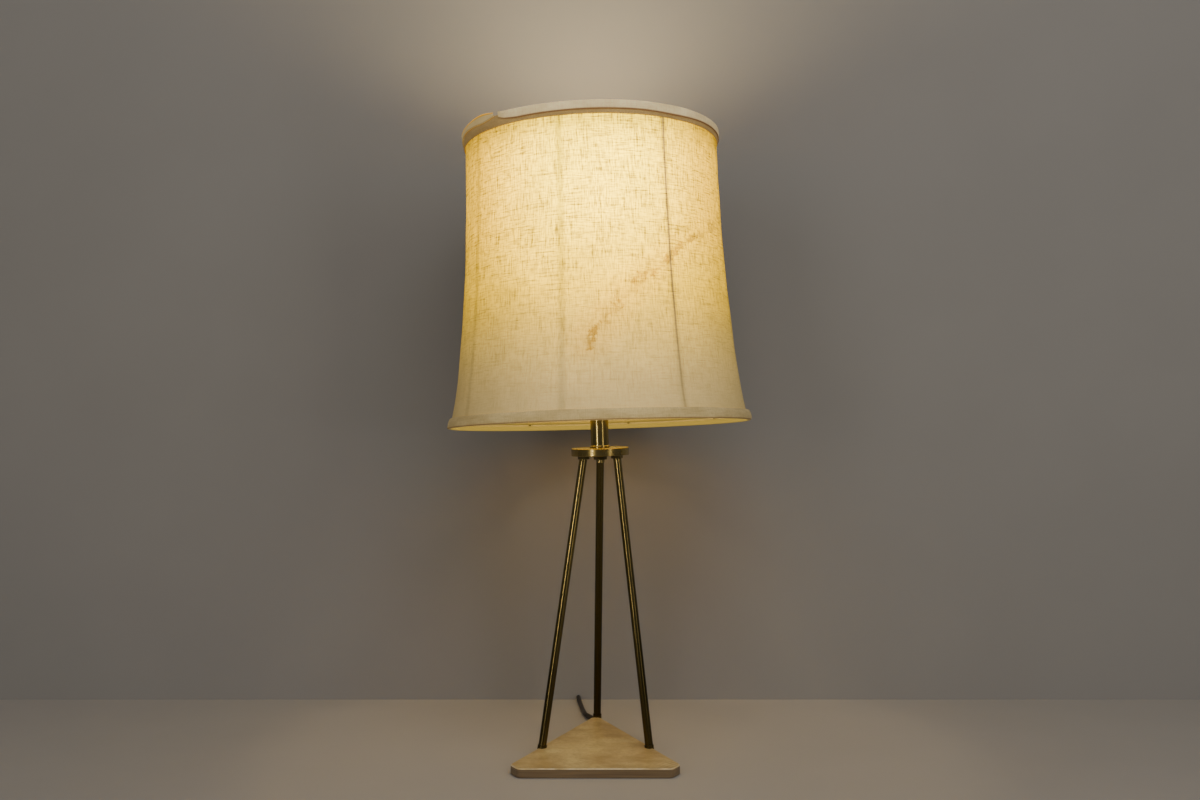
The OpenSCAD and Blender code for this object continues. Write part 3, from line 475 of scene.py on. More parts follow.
def maple_finish(colours):
    """Pale hardwood: soft golden clouds and a faint curl under satin varnish, fine pores from
    side to side, darker layered edges, a painted pool of light over the middle of the top, and a
    painted highlight as a light line where top and edge meet."""
    f = Finish("maple_base", Roughness=0.38, Coat_Weight=0.25, Coat_Roughness=0.22)
    here = f.here()
    place = f.add("SeparateXYZ", {0: here})
    grain = f.field(here, (18, 75, 60), 4, 0.6)
    pores = f.field(here, (160, 1300, 900), 2)
    figure = f.field(here, (60, 22, 16), 3, 0.6)
    cloud = f.field(here, (24, 30, 20), 4, 0.62, (2, 5, 1))
    speck = f.field(here, (260, 330, 260), 3, 0.6)
    colour = f.stained(colours.maple, (grain, 0.35, 0.68, 0.5, colours.maple_grain),
                       (figure, 0.40, 0.70, 0.35, (0.46, 0.31, 0.12)),
                       (cloud, 0.46, 0.64, 0.60, (0.40, 0.26, 0.095)),
                       (cloud, 0.47, 0.34, 0.65, (0.82, 0.68, 0.32)))
    # A painted pool of the lamp's light: a brighter, yellower patch over the middle of the top, broken
    # up by the clouds
    middle = f.stretched(here, (11, 16, 0), (0.15, 0.75, 0))
    middle = f.add("VectorMath", {0: middle}, operation="LENGTH").outputs["Value"]
    middle = f.spread(f.plus(middle, f.times(cloud, 0.9)), 0.45, 1.25, 1.0, 0.0)
    colour = f.blend(f.times(middle, 0.6), colour, (0.95, 0.78, 0.36))
    colour = f.stained(colour, (speck, 0.48, 0.70, 0.35, (0.38, 0.25, 0.10)),
                       (pores, 0.56, 0.72, 0.25, (0.28, 0.16, 0.06)))
    rings = f.add("TexWave", {"Vector": f.stretched(here, (1, 1, 1), (-0.125, 0.16, 0)), "Scale": 62,
                              "Distortion": 1.5, "Detail": 2}, wave_type="RINGS", rings_direction="Z")
    corner = f.times(f.spread(place.outputs["X"], 0.062, 0.085),
                     f.spread(place.outputs["Y"], -0.085, -0.110))
    rings = f.times(rings.outputs["Fac"], corner)
    colour = f.blend(f.times(rings, 0.45), colour, (0.30, 0.20, 0.10))
    # The edges: layered and darker, with a painted highlight as a light line at the top
    side = f.add("SeparateXYZ", {0: f.add("NewGeometry").outputs["Normal"]}).outputs["Z"]
    edge = f.spread(side, 0.75, 0.2)
    layers = f.field(here, (14, 14, 1500), 2)
    edge_colour = f.blend(f.spread(layers, 0.35, 0.65), (0.27, 0.185, 0.095), (0.17, 0.11, 0.055))
    colour = f.blend(edge, colour, edge_colour)
    # Painted highlight: a broken light line on the rounded edge between top and side
    worn = f.times(f.spread(side, 0.97, 0.85), f.spread(side, 0.25, 0.55))
    worn = f.times(worn, f.spread(f.noise(here, 60, 3, 0.6), 0.35, 0.60))
    colour = f.blend(f.times(worn, 0.7), colour, (0.78, 0.66, 0.42))
    f.shade(Base_Color=colour, Roughness=f.spread(grain, 0.3, 0.7, 0.34, 0.46),
            Normal=f.rough(f.plus(pores, f.times(layers, edge)), 0.00008, 0.4))
    return f.material


def plain_finish(name, colour, rough, metallic, grain, depth, **more):
    """Plastic, board or plain metal: a slight mottle in its colour and its gloss over a fine grain."""
    f = Finish(name, Metallic=metallic, **more)
    here = f.here()
    fine = f.field(here, (grain, grain, grain), 2)
    broad = f.field(here, (35, 35, 35), 3)
    f.shade(Base_Color=f.blend(f.spread(broad, 0.35, 0.65), colour, tone(colour, 0.76)),
            Roughness=f.spread(broad, 0.3, 0.7, rough - 0.05, rough + 0.07),
            Normal=f.rough(fine, depth, 0.4))
    return f.material


def lit_glass_finish():
    """Frosted bulb glass, evenly bright with a slightly dimmer neck."""
    f = Finish("bulb_glass", Base_Color=(0.95, 0.92, 0.85), Roughness=0.35)
    here = f.add("SeparateXYZ", {0: f.here()}).outputs["Z"]
    haze = f.field(f.here(), (90, 90, 90), 2)
    level = f.times(f.spread(here, 0.585, 0.625, 0.35, 1.0), f.spread(haze, 0.3, 0.7, 0.96, 1.04))
    f.shade(Emission_Color=(1.0, 0.80, 0.50), Emission_Strength=f.times(level, 9.0))
    return f.material


def own_turn(node):
    """The angles that bring a node's longest direction upright: the first of the directions in
    which its points spread most."""
    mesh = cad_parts[node].data
    points = np.empty(len(mesh.vertices) * 3)
    mesh.vertices.foreach_get("co", points)
    points = points.reshape(-1, 3)
    way = Vector(np.linalg.svd(points - points.mean(axis=0), full_matrices=False)[2][0])
    way = -way if way.z < 0 else way
    return tuple(way.rotation_difference(Vector((0, 0, 1))).to_euler())


def dress(material, *nodes):
    """Gives the objects of CAD nodes one finish."""
    for node in nodes:
        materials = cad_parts[node].data.materials
        materials.clear()
        materials.append(material)


def finish_piece(piece, material, body, slot, *nodes):
    """A new piece's finish, the body it moves with and the CAD nodes it stands for, which are hidden;
    slot is not used.
    """
    piece.data.materials.append(material)
    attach(piece, body)
    if nodes:
        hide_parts(*nodes)


# ---------------------------------------------------------------- sizes and colours

def colour_prop(name, description, default):
    return bpy.props.FloatVectorProperty(name=name, description=description, default=default,
                                         subtype="COLOR", size=3, min=0, max=1)


def length_prop(name, description, default, low, high):
    return bpy.props.FloatProperty(name=name, description=description, default=default,
                                   min=low, max=high, unit="LENGTH")


class LampSizes(bpy.types.PropertyGroup):
    """Sizes that a user would change."""
    panel_sag: length_prop("Panel sag", "How far the linen draws in between two wires",
                           0.0011, 0, 0.004)
    seam_rise: length_prop("Seam rise", "How far a stitched seam stands out", 0.0006, 0, 0.002)
    curl_rise: length_prop("Loose end", "How far the loose end of the top binding stands up",
                           CURL_RISE, 0, 0.009)
    cord_thickness: length_prop("Cord", "Diameter of the cord", 0.006, 0.005, 0.007)
    wall_distance: length_prop("Wall", "Distance of the backdrop behind the lamp", 0.209, 0.2, 0.4)


class LampColours(bpy.types.PropertyGroup):
    """Colours and light that a user would change."""
    linen: colour_prop("Linen", "Colour of the shade's linen", (0.58, 0.45, 0.18))
    linen_thread: colour_prop("Linen threads", "Colour of its darker threads", (0.46, 0.33, 0.12))
    maple: colour_prop("Wood", "Colour of the base", (0.68, 0.52, 0.23))
    maple_grain: colour_prop("Wood grain", "Colour of the base's darker grain", (0.56, 0.42, 0.17))
    brass: colour_prop("Brass", "Colour of clear brass", (0.42, 0.33, 0.12))
    patina: colour_prop("Patina", "Colour of aged brass", (0.22, 0.17, 0.065))
    wall: colour_prop("Wall", "Colour of the backdrop", (0.350, 0.328, 0.298))
    floor: colour_prop("Floor", "Colour of the floor", (0.45, 0.42, 0.38))
    glow: bpy.props.FloatProperty(name="Glow", description="Brightness of the lit shade",
                                  default=6.6, min=0, max=12)
    bulb: bpy.props.FloatProperty(name="Bulb", description="Power of the lamp's bulb",
                                  default=1.8, min=0, max=40, unit="POWER")


class LampOperator:
    bl_options = {"REGISTER", "UNDO"}

    def execute(self, context):
        self.build(context.scene.lamp_sizes, context.scene.lamp_colours)
        return {"FINISHED"}


# ---------------------------------------------------------------- the pieces

class LAMP_OT_camera(LampOperator, bpy.types.Operator):
    """Sets up a level camera in front of the lamp, a little over its hub"""
    bl_idname = "lamp.camera"
    bl_label = "Camera"

    def build(self, sizes, colours):
        data = bpy.data.cameras.new("camera")
        data.sensor_width = 36
        data.lens = 34.5
        data.shift_y = 0.0042
        data.clip_start = 0.01
        camera = put("camera", data, (0.0052, -1.396, 0.411))
        camera.rotation_euler = (math.pi / 2, 0, 0)
        bpy.context.scene.camera = camera


# The cord's way in mm: where it leaves the strain relief, its run to the coil, and its tail
RELIEF_END = np.array([-10.592, 107.575, 4.4])
RUN_POINTS = [
    (-12.346, 111.17, 4.4), (-13.9, 116, 4.3), (-15.6, 127, 3.9), (-17.2, 138, 3.5),
    (-18.8, 150, 3.2), (-20.5, 165, 3.2), (-22.7, 185, 3.2), (-24.6, 205, 3.3),
    (-25.6, 222, 3.6), (-26, 238, 3.9), (-26, 252, 4.2), (-26, 262, 4.3)]
TAIL_POINTS = [
    (4, 221, 10.8), (-8, 221, 10.8), (-20, 221, 10.8), (-30, 221.3, 10.4), (-39, 222.3, 8.9),
    (-48, 224.6, 7), (-57, 227.8, 5.5), (-66, 231.2, 4.8), (-75, 234, 5.2), (-84, 235.6, 6.1),
    (-92, 236, 6.8), (-98, 236, 7)]
# The coil's middle, its outer radius, the step from turn to turn and the height it lies at
COIL_AT = (21, 268)
COIL_R, COIL_STEP, COIL_LIES = 47, 6.5, 4.3
COIL_TURNS = 6.75


def coil_line(per_turn=48):
    """The coil's middle line: it winds in along the table and out again on top by the same step,
    and climbs a layer in the half turn where it turns back."""
    turn = np.arange(int(COIL_TURNS * per_turn) + 1) / per_turn
    half = COIL_TURNS / 2
    r = COIL_R - COIL_STEP * (half - np.abs(turn - half))
    z = COIL_LIES + COIL_STEP * np.clip((turn - half + 0.25) / 0.5, 0, 1)
    a = np.pi - 2 * np.pi * turn
    return np.stack([COIL_AT[0] + r * np.cos(a), COIL_AT[1] + r * np.sin(a), z], axis=-1)


def cord_line():
    """The whole cord's middle line in metres, from the strain relief to the plug."""
    coil = coil_line()
    run = through(np.vstack([RELIEF_END, RUN_POINTS, coil[0]]), 2.5)[:-1]
    tail = through(np.vstack([coil[-1], TAIL_POINTS]), 2.5)[1:]
    line = np.vstack([run, coil, tail])
    keep = np.concatenate([[True], np.linalg.norm(np.diff(line, axis=0), axis=1) > 0.3])
    return line[keep] * MM


class LAMP_OT_cord(LampOperator, bpy.types.Operator):
    """Runs the cord from the rear foot along the table into its coil and to the plug"""
    bl_idname = "lamp.cord"
    bl_label = "Cord"

    def build(self, sizes, colours):
        line = cord_line()
        black = plain_finish("cord_black", (0.030, 0.024, 0.019), 0.42, 0.0, 1100, 0.0001)
        cord = sweep_piece("cord", line, sizes.cord_thickness / 2, 14)
        finish_piece(cord, black, "stand", "cord_black", "cord_run", "cord_coil", "cord_tail")
        dress(black, "strain_relief", "cord_tie")
        dress(plain_finish("plug_black", (0.022, 0.020, 0.019), 0.34, 0.0, 600, 0.00008), "plug_body")
        dress(plain_finish("blade_brass", (0.62, 0.45, 0.18), 0.28, 1.0, 500, 0.00003), "plug_blades")


# Turns round the shade at its wires, at its stitched seams and where it's brightest
WIRE_TURNS = np.radians(302 + 45 * np.arange(8))
SEAM_TURNS = np.radians([302, 122])
BRIGHT_TURN = np.radians(273)

# The tide mark's line down the front: degrees round the shade, and height over its seat in metres
TIDE_LINE = [(352, -0.080), (341, -0.090), (320.5, -0.115), (306, -0.138), (290, -0.168),
             (278, -0.199), (270, -0.226), (267, -0.240)]


def line_distance(a, s, line):
    """Least distance on the cloth from each point of a grid of turns and heights to a line."""
    x, y = np.meshgrid(a * LINEN_R, s)
    best = np.ones_like(x)
    ends = [(math.radians(d) * LINEN_R, h) for d, h in line]
    for (x0, y0), (x1, y1) in zip(ends[:-1], ends[1:]):
        long = (x1 - x0) ** 2 + (y1 - y0) ** 2
        t = np.clip(((x - x0) * (x1 - x0) + (y - y0) * (y1 - y0)) / long, 0, 1)
        best = np.minimum(best, np.hypot(x - x0 - t * (x1 - x0), y - y0 - t * (y1 - y0)))
    return best


def gap_round(a, marks):
    """Least angle from each of a to any of marks, in radians."""
    d = np.abs((a[:, None] - marks[None] + np.pi) % (2 * np.pi) - np.pi)
    return d.min(axis=1)


class LAMP_OT_shade_fabric(LampOperator, bpy.types.Operator):
    """Stretches the linen over the shade's wires, with its seams and its lining"""
    bl_idname = "lamp.shade_fabric"
    bl_label = "Shade linen"

    def build(self, sizes, colours):
        """The cloth's radius is the bell's, less a sag from wire to wire that fades at both
        rings, plus a narrow rise at each seam and slight ripples. The lining is the same surface
        further in, joined at both edges. The glow falls from the front to the flanks, and rises
        a little behind."""
        even = np.arange(192) * 2 * np.pi / 192 + SEAM_TURNS[0]
        near = np.array([-4, -2.2, -1.1, -0.45, 0.45, 1.1, 2.2, 4]) * MM / LINEN_R
        a = np.unique(np.round(np.concatenate([even, (SEAM_TURNS[:, None] + near[None]).ravel()])
                               % (2 * np.pi), 7))
        s = np.linspace(LINEN_FOOT, LINEN_TOP, 118)
        share = (LINEN_TOP - s) / (LINEN_TOP - LINEN_FOOT)
        fade = np.sin(np.pi * share)[:, None]
        span = 2 * np.pi / len(WIRE_TURNS)
        phase = ((a - WIRE_TURNS[0]) % span) / span
        sag = sizes.panel_sag * np.sin(np.pi * phase)[None] ** 1.3 * fade ** 0.7
        seam = gap_round(a, SEAM_TURNS) * LINEN_R
        rise = sizes.seam_rise * np.exp(-(seam / 0.0016) ** 2)[None]
        rise = rise - 0.5 * sizes.seam_rise * np.exp(-(seam / 0.0005) ** 2)[None]
        ripple = 0.00022 * np.sin(9 * a[None] + 14 * share[:, None]) * fade
        ripple = ripple + 0.00015 * np.sin(23 * a[None] - 31 * share[:, None])
        outer = shade_radius(s)[:, None] - sag + rise + ripple
        inner = outer - LINEN_THICK
        r = np.vstack([outer, inner[::-1]])
        v = np.concatenate([s, s[::-1]])
        z = v[:, None]
        points = np.stack([r * np.cos(a), r * np.sin(a), np.broadcast_to(z, r.shape)], axis=-1)
        quads = grid_quads(len(z), len(a), close_rows=True)
        maps = quad_maps(a * LINEN_R, np.concatenate([v, v[:1]]))
        wire = gap_round(a, WIRE_TURNS) * LINEN_R
        # The front mark sets the painted glow, strongest at the front, and the painted shade on the
        # flanks
        facing = 0.5 + 0.5 * np.cos(a - BRIGHT_TURN)
        front = 0.17 + 0.83 * facing ** 5.4 + 0.24 * smooth_step(-0.42, -0.10, -facing)
        marks = {"wire": wire, "seam": seam, "height": z, "tide": line_distance(a, v, TIDE_LINE),
                 "front": front, "inside": np.repeat([0.0, 1.0], len(s))[:, None]}
        cloth = make_piece("shade_linen", in_shade(points), quads, maps, marks)
        finish_piece(cloth, linen_finish(colours), "shade", "shade_linen", "shade_fabric")


def band_piece(name, section, a, edge, inside, loose=0.0, fall=2, close=True):
    """A cloth band: section gives radius and height for each turn and each step round the band's
    own outline, both (turns, steps), and the outline is closed on itself."""
    r, z = section
    points = np.stack([r * np.cos(a)[:, None], r * np.sin(a)[:, None], z], axis=-1)
    turns, steps = r.shape
    quads = grid_quads(turns, steps, close)
    walk = np.concatenate([[0], np.cumsum(np.hypot(np.diff(r.mean(axis=0)), np.diff(z.mean(axis=0))))])
    along = a * BINDING_R
    if close:
        along = np.concatenate([along, [2 * along[-1] - along[-2]]])
    maps = quad_maps(walk, along)[:, :, ::-1]
    caps = () if close else [cap[::-1] for cap in end_caps(turns, steps)]
    # The band's painted glow falls from the front to the flanks
    front = 0.25 + 0.80 * (0.5 + 0.5 * np.cos(a - np.radians(270))) ** fall
    marks = {"edge": edge, "inside": inside, "loose": loose, "front": front[:, None]}
    return make_piece(name, in_shade(points), quads, maps, marks, caps, flip=True)


def trim_outline(height, stand, lip):
    """Outline of a band folded over an edge at 0, reaching down by height: outset and depth of
    each point, from the inner lip over the rounded rim to the outer foot and back behind it."""
    rim = np.linspace(np.pi, 0, 9)
    mid, half = (stand - 0.0025) / 2, (stand + 0.0025) / 2
    outset = np.concatenate([[-0.0026, -0.0026, -0.0025], mid + half * np.cos(rim),
                             [stand + 0.0003, stand + 0.0004, stand + 0.0001, stand - 0.0004,
                              stand - 0.0011, 0.0008, 0.0005, 0.0004, -0.0012, -0.0013]])
    depth = np.concatenate([[lip, 0.6 * lip, 0.35 * lip], 0.0016 - 0.0015 * np.sin(rim),
                            [0.30 * height, 0.55 * height, 0.80 * height, 0.93 * height, height,
                             height * 0.985, 0.6 * height, 0.0018, 0.0018, lip]])
    return outset, depth


# The cover's reach down from the rim and its lift above it, both in mm, by degrees round the shade
COVER_REACH = [(228.7, 5.0), (231, 8.0), (238, 10.4), (254, 10.4), (272, 10.0), (291, 9.6), (307, 10.4),
               (327, 9.0), (345, 9.4), (380, 10), (450, 9.4), (500, 10.2), (530, 9.0), (548, 4.6),
               (560, 2.8), (571, 4.0), (578, 5.2), (582, 4.2), (586, 2.2)]
COVER_LIFT = [(228.7, 1.0), (232, 0.4), (240, 0), (528, 0), (545, 1.8), (556, 2.6), (565, 3.4),
              (572, 4.6), (578, 4.8), (582, 3.2), (586, 1.2)]
COVER_LOOSE = [(228.7, 0.4), (233, 0), (520, 0), (546, 0.8), (556, 1), (586, 1)]


def eased(points, x, smooth=3.0):
    """Values read between points and then averaged over a few degrees, so no corner shows."""
    at, level = np.array(points).T
    shifts = np.linspace(-smooth, smooth, 7)
    return np.mean([np.interp(x + d, at, level) for d in shifts], axis=0)


class LAMP_OT_shade_trims(LampOperator, bpy.types.Operator):
    """Binds the shade's two edges, with the top binding's cover coming loose at one end"""
    bl_idname = "lamp.shade_trims"
    bl_label = "Shade bindings"

    def build(self, sizes, colours):
        """Each band is its folded outline carried round the shade, a little wavy. The cover is a
        thinner band over the top one. Its reach, its lift and how far it folds over the rim are
        read by the turn, and its loose end leans out."""
        tan = trim_finish("trim_under", (0.46, 0.32, 0.14), (0.36, 0.24, 0.10), 0.50)
        roll = trim_finish("trim_roll", (0.47, 0.375, 0.20), (0.33, 0.25, 0.115), 0.76)
        pale = trim_finish("trim_cover", (0.66, 0.56, 0.36), (0.50, 0.40, 0.24), 0.95)
        self.bands(tan, roll)
        self.cover(sizes, pale)

    def bands(self, tan, roll):
        a = np.arange(240) * 2 * np.pi / 240
        waves = wobble(a, [(3, 0.4, 0.4), (7, 1.9, 0.25), (13, 0.2, 0.2), (29, 2.2, 0.15)])[:, None]
        fine = wobble(a, [(11, 2.4, 0.4), (17, 0.9, 0.35), (41, 1.2, 0.25)])[:, None]
        swell = 0.0012 * np.exp(-((a - np.radians(352)) / 0.10) ** 2)[:, None]
        for name, edge, way, height, stand in (("trim_top", SHADE_TOP, -1, 0.0140, 0.0018),
                                               ("trim_bottom", SHADE_FOOT, 1, 0.0125, 0.0030)):
            outset, depth = trim_outline(height, stand, 0.0060)
            reach = depth[None] + (depth[None] > 0.6 * height) * waves * 0.0005
            z = edge + way * reach
            puff = np.where((depth > 0.002) & (outset > 0.001), 1, 0)[None]
            puff = puff * (fine * 0.0003 + (swell if way > 0 else 0))
            r = shade_radius(z) + outset[None] + puff
            # Edge mark: painted shade along the underside of the bottom binding's roll; the top band
            # gets none
            mark = np.where(outset > stand / 2, 0.0002 + 0.8 * np.abs(depth), 0.01)[None]
            inside = np.where(outset < -0.001, 1.0, 0.0)[None]
            band = band_piece(name + "_band", (r, z), a, mark if way > 0 else 0.01, inside,
                              fall=4 if way > 0 else 2)
            if way > 0:
                band.data.flip_normals()
            finish_piece(band, tan if way < 0 else roll, "shade", "shade_trim", name)

    def cover(self, sizes, pale):
        degrees = np.linspace(COVER_REACH[0][0], COVER_REACH[-1][0], 360)
        a = np.radians(degrees)
        reach = eased(COVER_REACH, degrees, 1.5)[:, None] * MM
        lift = eased(COVER_LIFT, degrees, 1.5)[:, None] * MM * sizes.curl_rise / CURL_RISE
        loose = eased(COVER_LOOSE, degrees)[:, None]
        waves = wobble(a, [(5, 0.9, 0.5), (9, 2.6, 0.3), (21, 0.6, 0.2)])[:, None]
        u = np.linspace(0, 1, 9)[None]
        top = 0.0246 + lift + 0.0003 * waves
        z_wall = top - (reach + lift + 0.0004 * waves) * u
        r_wall = (shade_radius(np.minimum(z_wall, SHADE_TOP)) + 0.0031 + 0.0004 * np.sin(np.pi * u)
                  + loose * (0.0014 * (1 - u) ** 2 + 0.0006 * np.sin(5 * a)[:, None] * (1 - u)))
        fold = np.array([1.0, 0.6, 0.25])[None]
        r_fold = r_wall[:, :1] - 0.0003 - fold * (0.0046 * (1 - loose) + 0.0006 * loose)
        z_fold = top + 0.0003 * (1 - fold ** 2)
        r_out = np.hstack([r_fold, r_wall])
        z_out = np.hstack([z_fold, z_wall])
        thick = 0.0006
        r = np.hstack([r_out, r_out[:, ::-1] - thick])
        z = np.hstack([z_out, z_out[:, ::-1] - thick * 0.6])
        # A brown line along the cover's foot, and brown over its back face
        near_foot = (1 - u) * (reach + lift)
        edge = np.hstack([np.full_like(r_fold, 0.01), near_foot])
        edge = np.hstack([edge, np.zeros_like(edge)])
        # The loose end's fold and upper edge glow as painted light from inside the shade; it goes in as
        # the cover's inside mark
        lit = np.hstack([np.ones_like(fold), np.clip(1 - 5 * u, 0, 1)]) * loose ** 2 * 3.0
        lit = np.hstack([lit, loose ** 2 * np.ones_like(lit)])
        cover = band_piece("trim_top_cover", (r, z), a, edge, lit, loose=loose, close=False)
        finish_piece(cover, pale, "shade", "shade_trim")


# The ribs' radius and how far their middle lies inside the bell, and the linen's light on them
RIB_R, RIB_INSET = 0.0015, 0.0028
LIT_WIRE = (1.0, 0.66, 0.10)


class LAMP_OT_shade_frame(LampOperator, bpy.types.Operator):
    """Bends the shade's eight ribs, and finishes its rings and spider"""
    bl_idname = "lamp.shade_frame"
    bl_label = "Shade frame"

    def build(self, sizes, colours):
        # Both wires glow a little as painted light from the lit linen, the bottom ring most
        wire = plain_finish("frame_wire", (0.36, 0.27, 0.07), 0.6, 0.0, 700, 0.00005,
                            Emission_Color=LIT_WIRE, Emission_Strength=0.05)
        ring_wire = plain_finish("ring_wire", (0.22, 0.17, 0.04), 0.6, 0.0, 700, 0.00005,
                                 Emission_Color=LIT_WIRE, Emission_Strength=0.22)
        s = np.linspace(-0.3188, 0.0173, 40)
        line = np.stack([shade_radius(s) - RIB_INSET, 0 * s, s], axis=-1)
        rings = sweep_rings(line, RIB_R, 14, (1, 0, 0))
        rows, sides = rings.shape[:2]
        points, quads, caps = [], [], []
        for k, turn in enumerate(WIRE_TURNS):
            points.append((rings @ turn_about("Z", turn).T).reshape(-1, 3))
            quads.append(grid_quads(rows, sides) + k * rows * sides)
            caps += end_caps(rows, sides, k * rows * sides)
        ribs = make_piece("shade_wires", in_shade(np.vstack(points)), np.vstack(quads), caps=caps)
        finish_piece(ribs, wire, "shade", "frame_brass", "shade_ribs")
        dress(wire, "shade_spider")
        dress(ring_wire, "shade_bottom_ring")


BRASS_NODES = ("leg_left leg_right leg_rear ferrule_left ferrule_right ferrule_rear hub_cup "
               "neck_collar neck_tube leg_nuts stem_washer stem_locknut stem_pipe").split()


class LAMP_OT_stand(LampOperator, bpy.types.Operator):
    """Finishes the wooden base, the legs and their feet, the hub and the neck"""
    bl_idname = "lamp.stand"
    bl_label = "Base, legs, hub and neck"

    def build(self, sizes, colours):
        dress(maple_finish(colours), "wood_base")
        clear, aged = colours.brass, colours.patina
        dark = aged_brass("dark_brass", tone(clear, 0.5), tone(aged, 0.38), 0.48, 0.26)
        hub = aged_brass("hub_brass", tone(clear, 1.24), tone(aged, 1.22), 0.50, 0.19, (0.5, 0.5, 1))
        neck = aged_brass("neck_brass", tone(clear, 0.96), tone(aged, 1.14), 0.56, 0.15, (1, 1, 0.08),
                          turned=own_turn("neck_tube"))
        foot = aged_brass("foot_brass", tone(aged, 0.58), tone(aged, 0.26), 0.50, 0.24, (1, 1, 0.3))
        # The legs are one brass in lit and shaded copies: painted shade makes the right leg darker than
        # the left and the rear leg darkest, and darkens each towards the table
        for node, share in (("leg_left", 0.85), ("leg_right", 0.75), ("leg_rear", 0.50)):
            dress(aged_brass(node + "_brass", tone(clear, share), tone(aged, share), 0.50, 0.13,
                             (1, 1, 0.07), 0.22, own_turn(node)), node)
        dress(foot, "ferrule_left", "ferrule_right", "ferrule_rear")
        dress(dark, "hub_plate", "leg_nuts", "stem_washer", "stem_locknut")
        dress(hub, "hub_cup", "stem_pipe", "neck_collar")
        dress(neck, "neck_tube", "neck_cap")
        dress(plain_finish("plain_steel", (0.50, 0.50, 0.49), 0.3, 1.0, 400, 0.00003), "foot_pins")


class LAMP_OT_holder(LampOperator, bpy.types.Operator):
    """Finishes the lamp holder, its switch, the bulb, the harp and the finial"""
    bl_idname = "lamp.holder"
    bl_label = "Lamp holder, bulb and harp"

    def build(self, sizes, colours):
        holder = aged_brass("holder_brass", (0.70, 0.50, 0.20), (0.42, 0.28, 0.10), 0.68, 0.20)
        harp = aged_brass("harp_brass", (0.66, 0.46, 0.18), (0.36, 0.24, 0.09), 0.62, 0.22)
        dress(holder, "socket_cap", "socket_shell", "screw_shell", "centre_contact")
        dress(harp, "harp_saddle", "harp", "harp_sleeve_left", "harp_sleeve_right", "finial")
        dress(plain_finish("black_plastic", (0.020, 0.018, 0.017), 0.28, 0.0, 500, 0.00003),
              "socket_body", "switch_knob", "bulb_contact")
        dress(plain_finish("liner_board", (0.42, 0.32, 0.19), 0.8, 0.0, 900, 0.0001), "socket_liner")
        dress(plain_finish("bulb_cap", (0.72, 0.72, 0.71), 0.3, 1.0, 400, 0.00003), "bulb_cap")
        dress(plain_finish("wire_plastic", (0.05, 0.045, 0.04), 0.45, 0.0, 900, 0.00003), "lamp_wire")
        dress(bpy.data.materials["plain_steel"], "switch_shaft")
        dress(lit_glass_finish(), "bulb_glass")
        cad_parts["bulb_glass"].visible_shadow = False


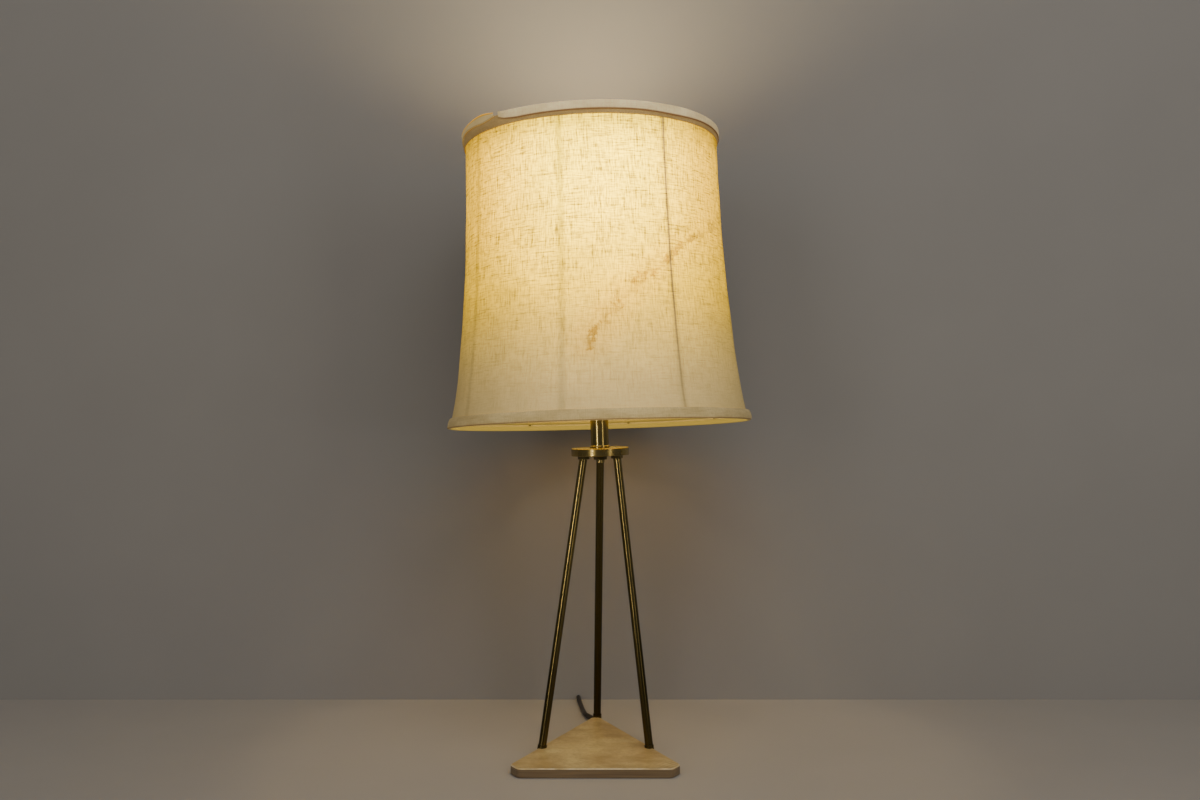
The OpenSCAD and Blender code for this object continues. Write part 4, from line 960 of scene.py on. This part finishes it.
class LAMP_OT_stage(LampOperator, bpy.types.Operator):
    """Lays a pale floor, hangs a plain backdrop close behind the lamp and lights both"""
    bl_idname = "lamp.stage"
    bl_label = "Stage and light"

    def build(self, sizes, colours):
        floor = self.sheet_of("floor", [(-6, -6, 0), (6, -6, 0), (6, 6, 0), (-6, 6, 0)],
                              colours.floor, False)
        y = sizes.wall_distance
        wall = self.sheet_of("backdrop", [(-4, y, 0), (4, y, 0), (4, y, 3), (-4, y, 3)],
                             colours.wall, True)
        # The soft lights leave the brass to narrow strips, which draw fine lines along its tubes
        brass = [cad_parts[name] for name in BRASS_NODES]
        for name, place, size, power, colour, state in (
                ("key", (1.44, -1.66, 0.95), (0.60, 1.5), 6.5, (1.0, 0.98, 0.95), "EXCLUDE"),
                ("fill", (-1.15, -1.86, 0.95), (0.60, 1.5), 5.5, (1.0, 0.95, 0.88), "EXCLUDE"),
                ("glint_right", (1.44, -1.66, 0.76), (0.16, 1.5), 3.4, (1.0, 0.86, 0.62), "INCLUDE"),
                ("glint_left", (-1.15, -1.86, 0.76), (0.10, 1.5), 11.0, (1.0, 0.88, 0.66), "INCLUDE")):
            self.light_only(self.area(name, place, (0, 0, 0.60), size, power, colour), state, brass)
        self.area("front", (0.3, -2.0, 2.1), (0, 0, 0.55), (2.2, 1.0), 10, (1.0, 0.97, 0.93))
        self.area("above", (0.2, -1.2, 2.2), (0, 0, 0.3), (1.2, 1.2), 6, (1.0, 0.98, 0.95))
        bulb = bpy.data.lights.new("bulb_light", "POINT")
        bulb.energy = colours.bulb
        bulb.color = (1.0, 0.78, 0.46)
        bulb.shadow_soft_size = 0.03
        lamp = put("bulb_light", bulb, in_holder([0, 0, 0.108]))
        # Neither the lit linen nor the bulb lights the backdrop
        for source in (bpy.data.objects["shade_linen"], lamp):
            self.light_only(source, "EXCLUDE", [wall])
        up = self.area("upward", in_harp([0, 0, 0.218]), in_harp([0, 0, 0.5]),
                       (0.22, 0.22), 1.3, (1.0, 0.81, 0.46))
        up.data.spread = math.radians(140)
        world = bpy.data.worlds.new("studio")
        world.use_nodes = True
        sky = world.node_tree.nodes["Background"].inputs
        sky[0].default_value = (0.85, 0.90, 1.0, 1)
        sky[1].default_value = 0.10
        bpy.context.scene.world = world

    def light_only(self, source, state, pieces):
        """Lets a light or a glowing piece light only the given pieces, or all but them."""
        group = bpy.data.collections.new("lit_by_" + source.name)
        source.light_linking.receiver_collection = group
        for piece in pieces:
            group.objects.link(piece)
        for entry in group.collection_objects:
            entry.light_linking.link_state = state

    def sheet_of(self, name, corners, colour, one_way):
        piece = make_piece(name, np.array(corners, dtype=float), np.array([[0, 1, 2, 3]]))
        f = Finish(name, Roughness=0.9)
        mottle = f.field(f.here(), (6, 6, 6), 3)
        f.shade(Base_Color=f.blend(f.spread(mottle, 0.35, 0.65), tuple(colour), tone(colour, 0.97)))
        if one_way:
            clear = f.add("BsdfTransparent")
            both = f.add("MixShader", {0: f.add("NewGeometry").outputs["Backfacing"],
                                       1: f.shader.outputs[0], 2: clear.outputs[0]})
            out = next(n for n in f.tree.nodes if n.type == "OUTPUT_MATERIAL")
            f.tree.links.new(both.outputs[0], out.inputs[0])
        piece.data.materials.append(f.material)
        return piece

    def area(self, name, place, aim, size, power, colour):
        light = bpy.data.lights.new(name, "AREA")
        light.shape = "RECTANGLE"
        light.size, light.size_y = size
        light.energy = power
        light.color = colour
        lamp = put(name, light, place)
        lamp.visible_camera = False
        x, y, z = np.subtract(aim, place)
        lamp.rotation_euler = (math.pi / 2 + math.atan2(z, math.hypot(x, y)), 0,
                               math.atan2(y, x) - math.pi / 2)
        return lamp


OPERATORS = (LAMP_OT_camera, LAMP_OT_cord, LAMP_OT_shade_fabric, LAMP_OT_shade_trims,
             LAMP_OT_shade_frame, LAMP_OT_stand, LAMP_OT_holder, LAMP_OT_stage)


class LAMP_PT_sidebar(bpy.types.Panel):
    """Sizes, colours and one button for each group of pieces"""
    bl_idname = "LAMP_PT_sidebar"
    bl_label = "Tripod Table Lamp"
    bl_space_type = "VIEW_3D"
    bl_region_type = "UI"
    bl_category = "Lamp"

    def draw(self, context):
        for group in (context.scene.lamp_sizes, context.scene.lamp_colours):
            box = self.layout.box()
            for key in group.__annotations__:
                box.prop(group, key)
        for kind in OPERATORS:
            self.layout.operator(kind.bl_idname)


CLASSES = (LampSizes, LampColours, *OPERATORS, LAMP_PT_sidebar)


def register():
    for kind in CLASSES:
        bpy.utils.register_class(kind)
    bpy.types.Scene.lamp_sizes = bpy.props.PointerProperty(type=LampSizes)
    bpy.types.Scene.lamp_colours = bpy.props.PointerProperty(type=LampColours)


def unregister():
    del bpy.types.Scene.lamp_colours
    del bpy.types.Scene.lamp_sizes
    for kind in reversed(CLASSES):
        bpy.utils.unregister_class(kind)


def main():
    """Builds the lamp piece by piece."""
    register()
    for kind in OPERATORS:
        group, action = kind.bl_idname.split(".")
        if getattr(getattr(bpy.ops, group), action)() != {"FINISHED"}:
            raise RuntimeError(f"{kind.bl_label} wasn't built")


if __name__ == "__main__":
    main()
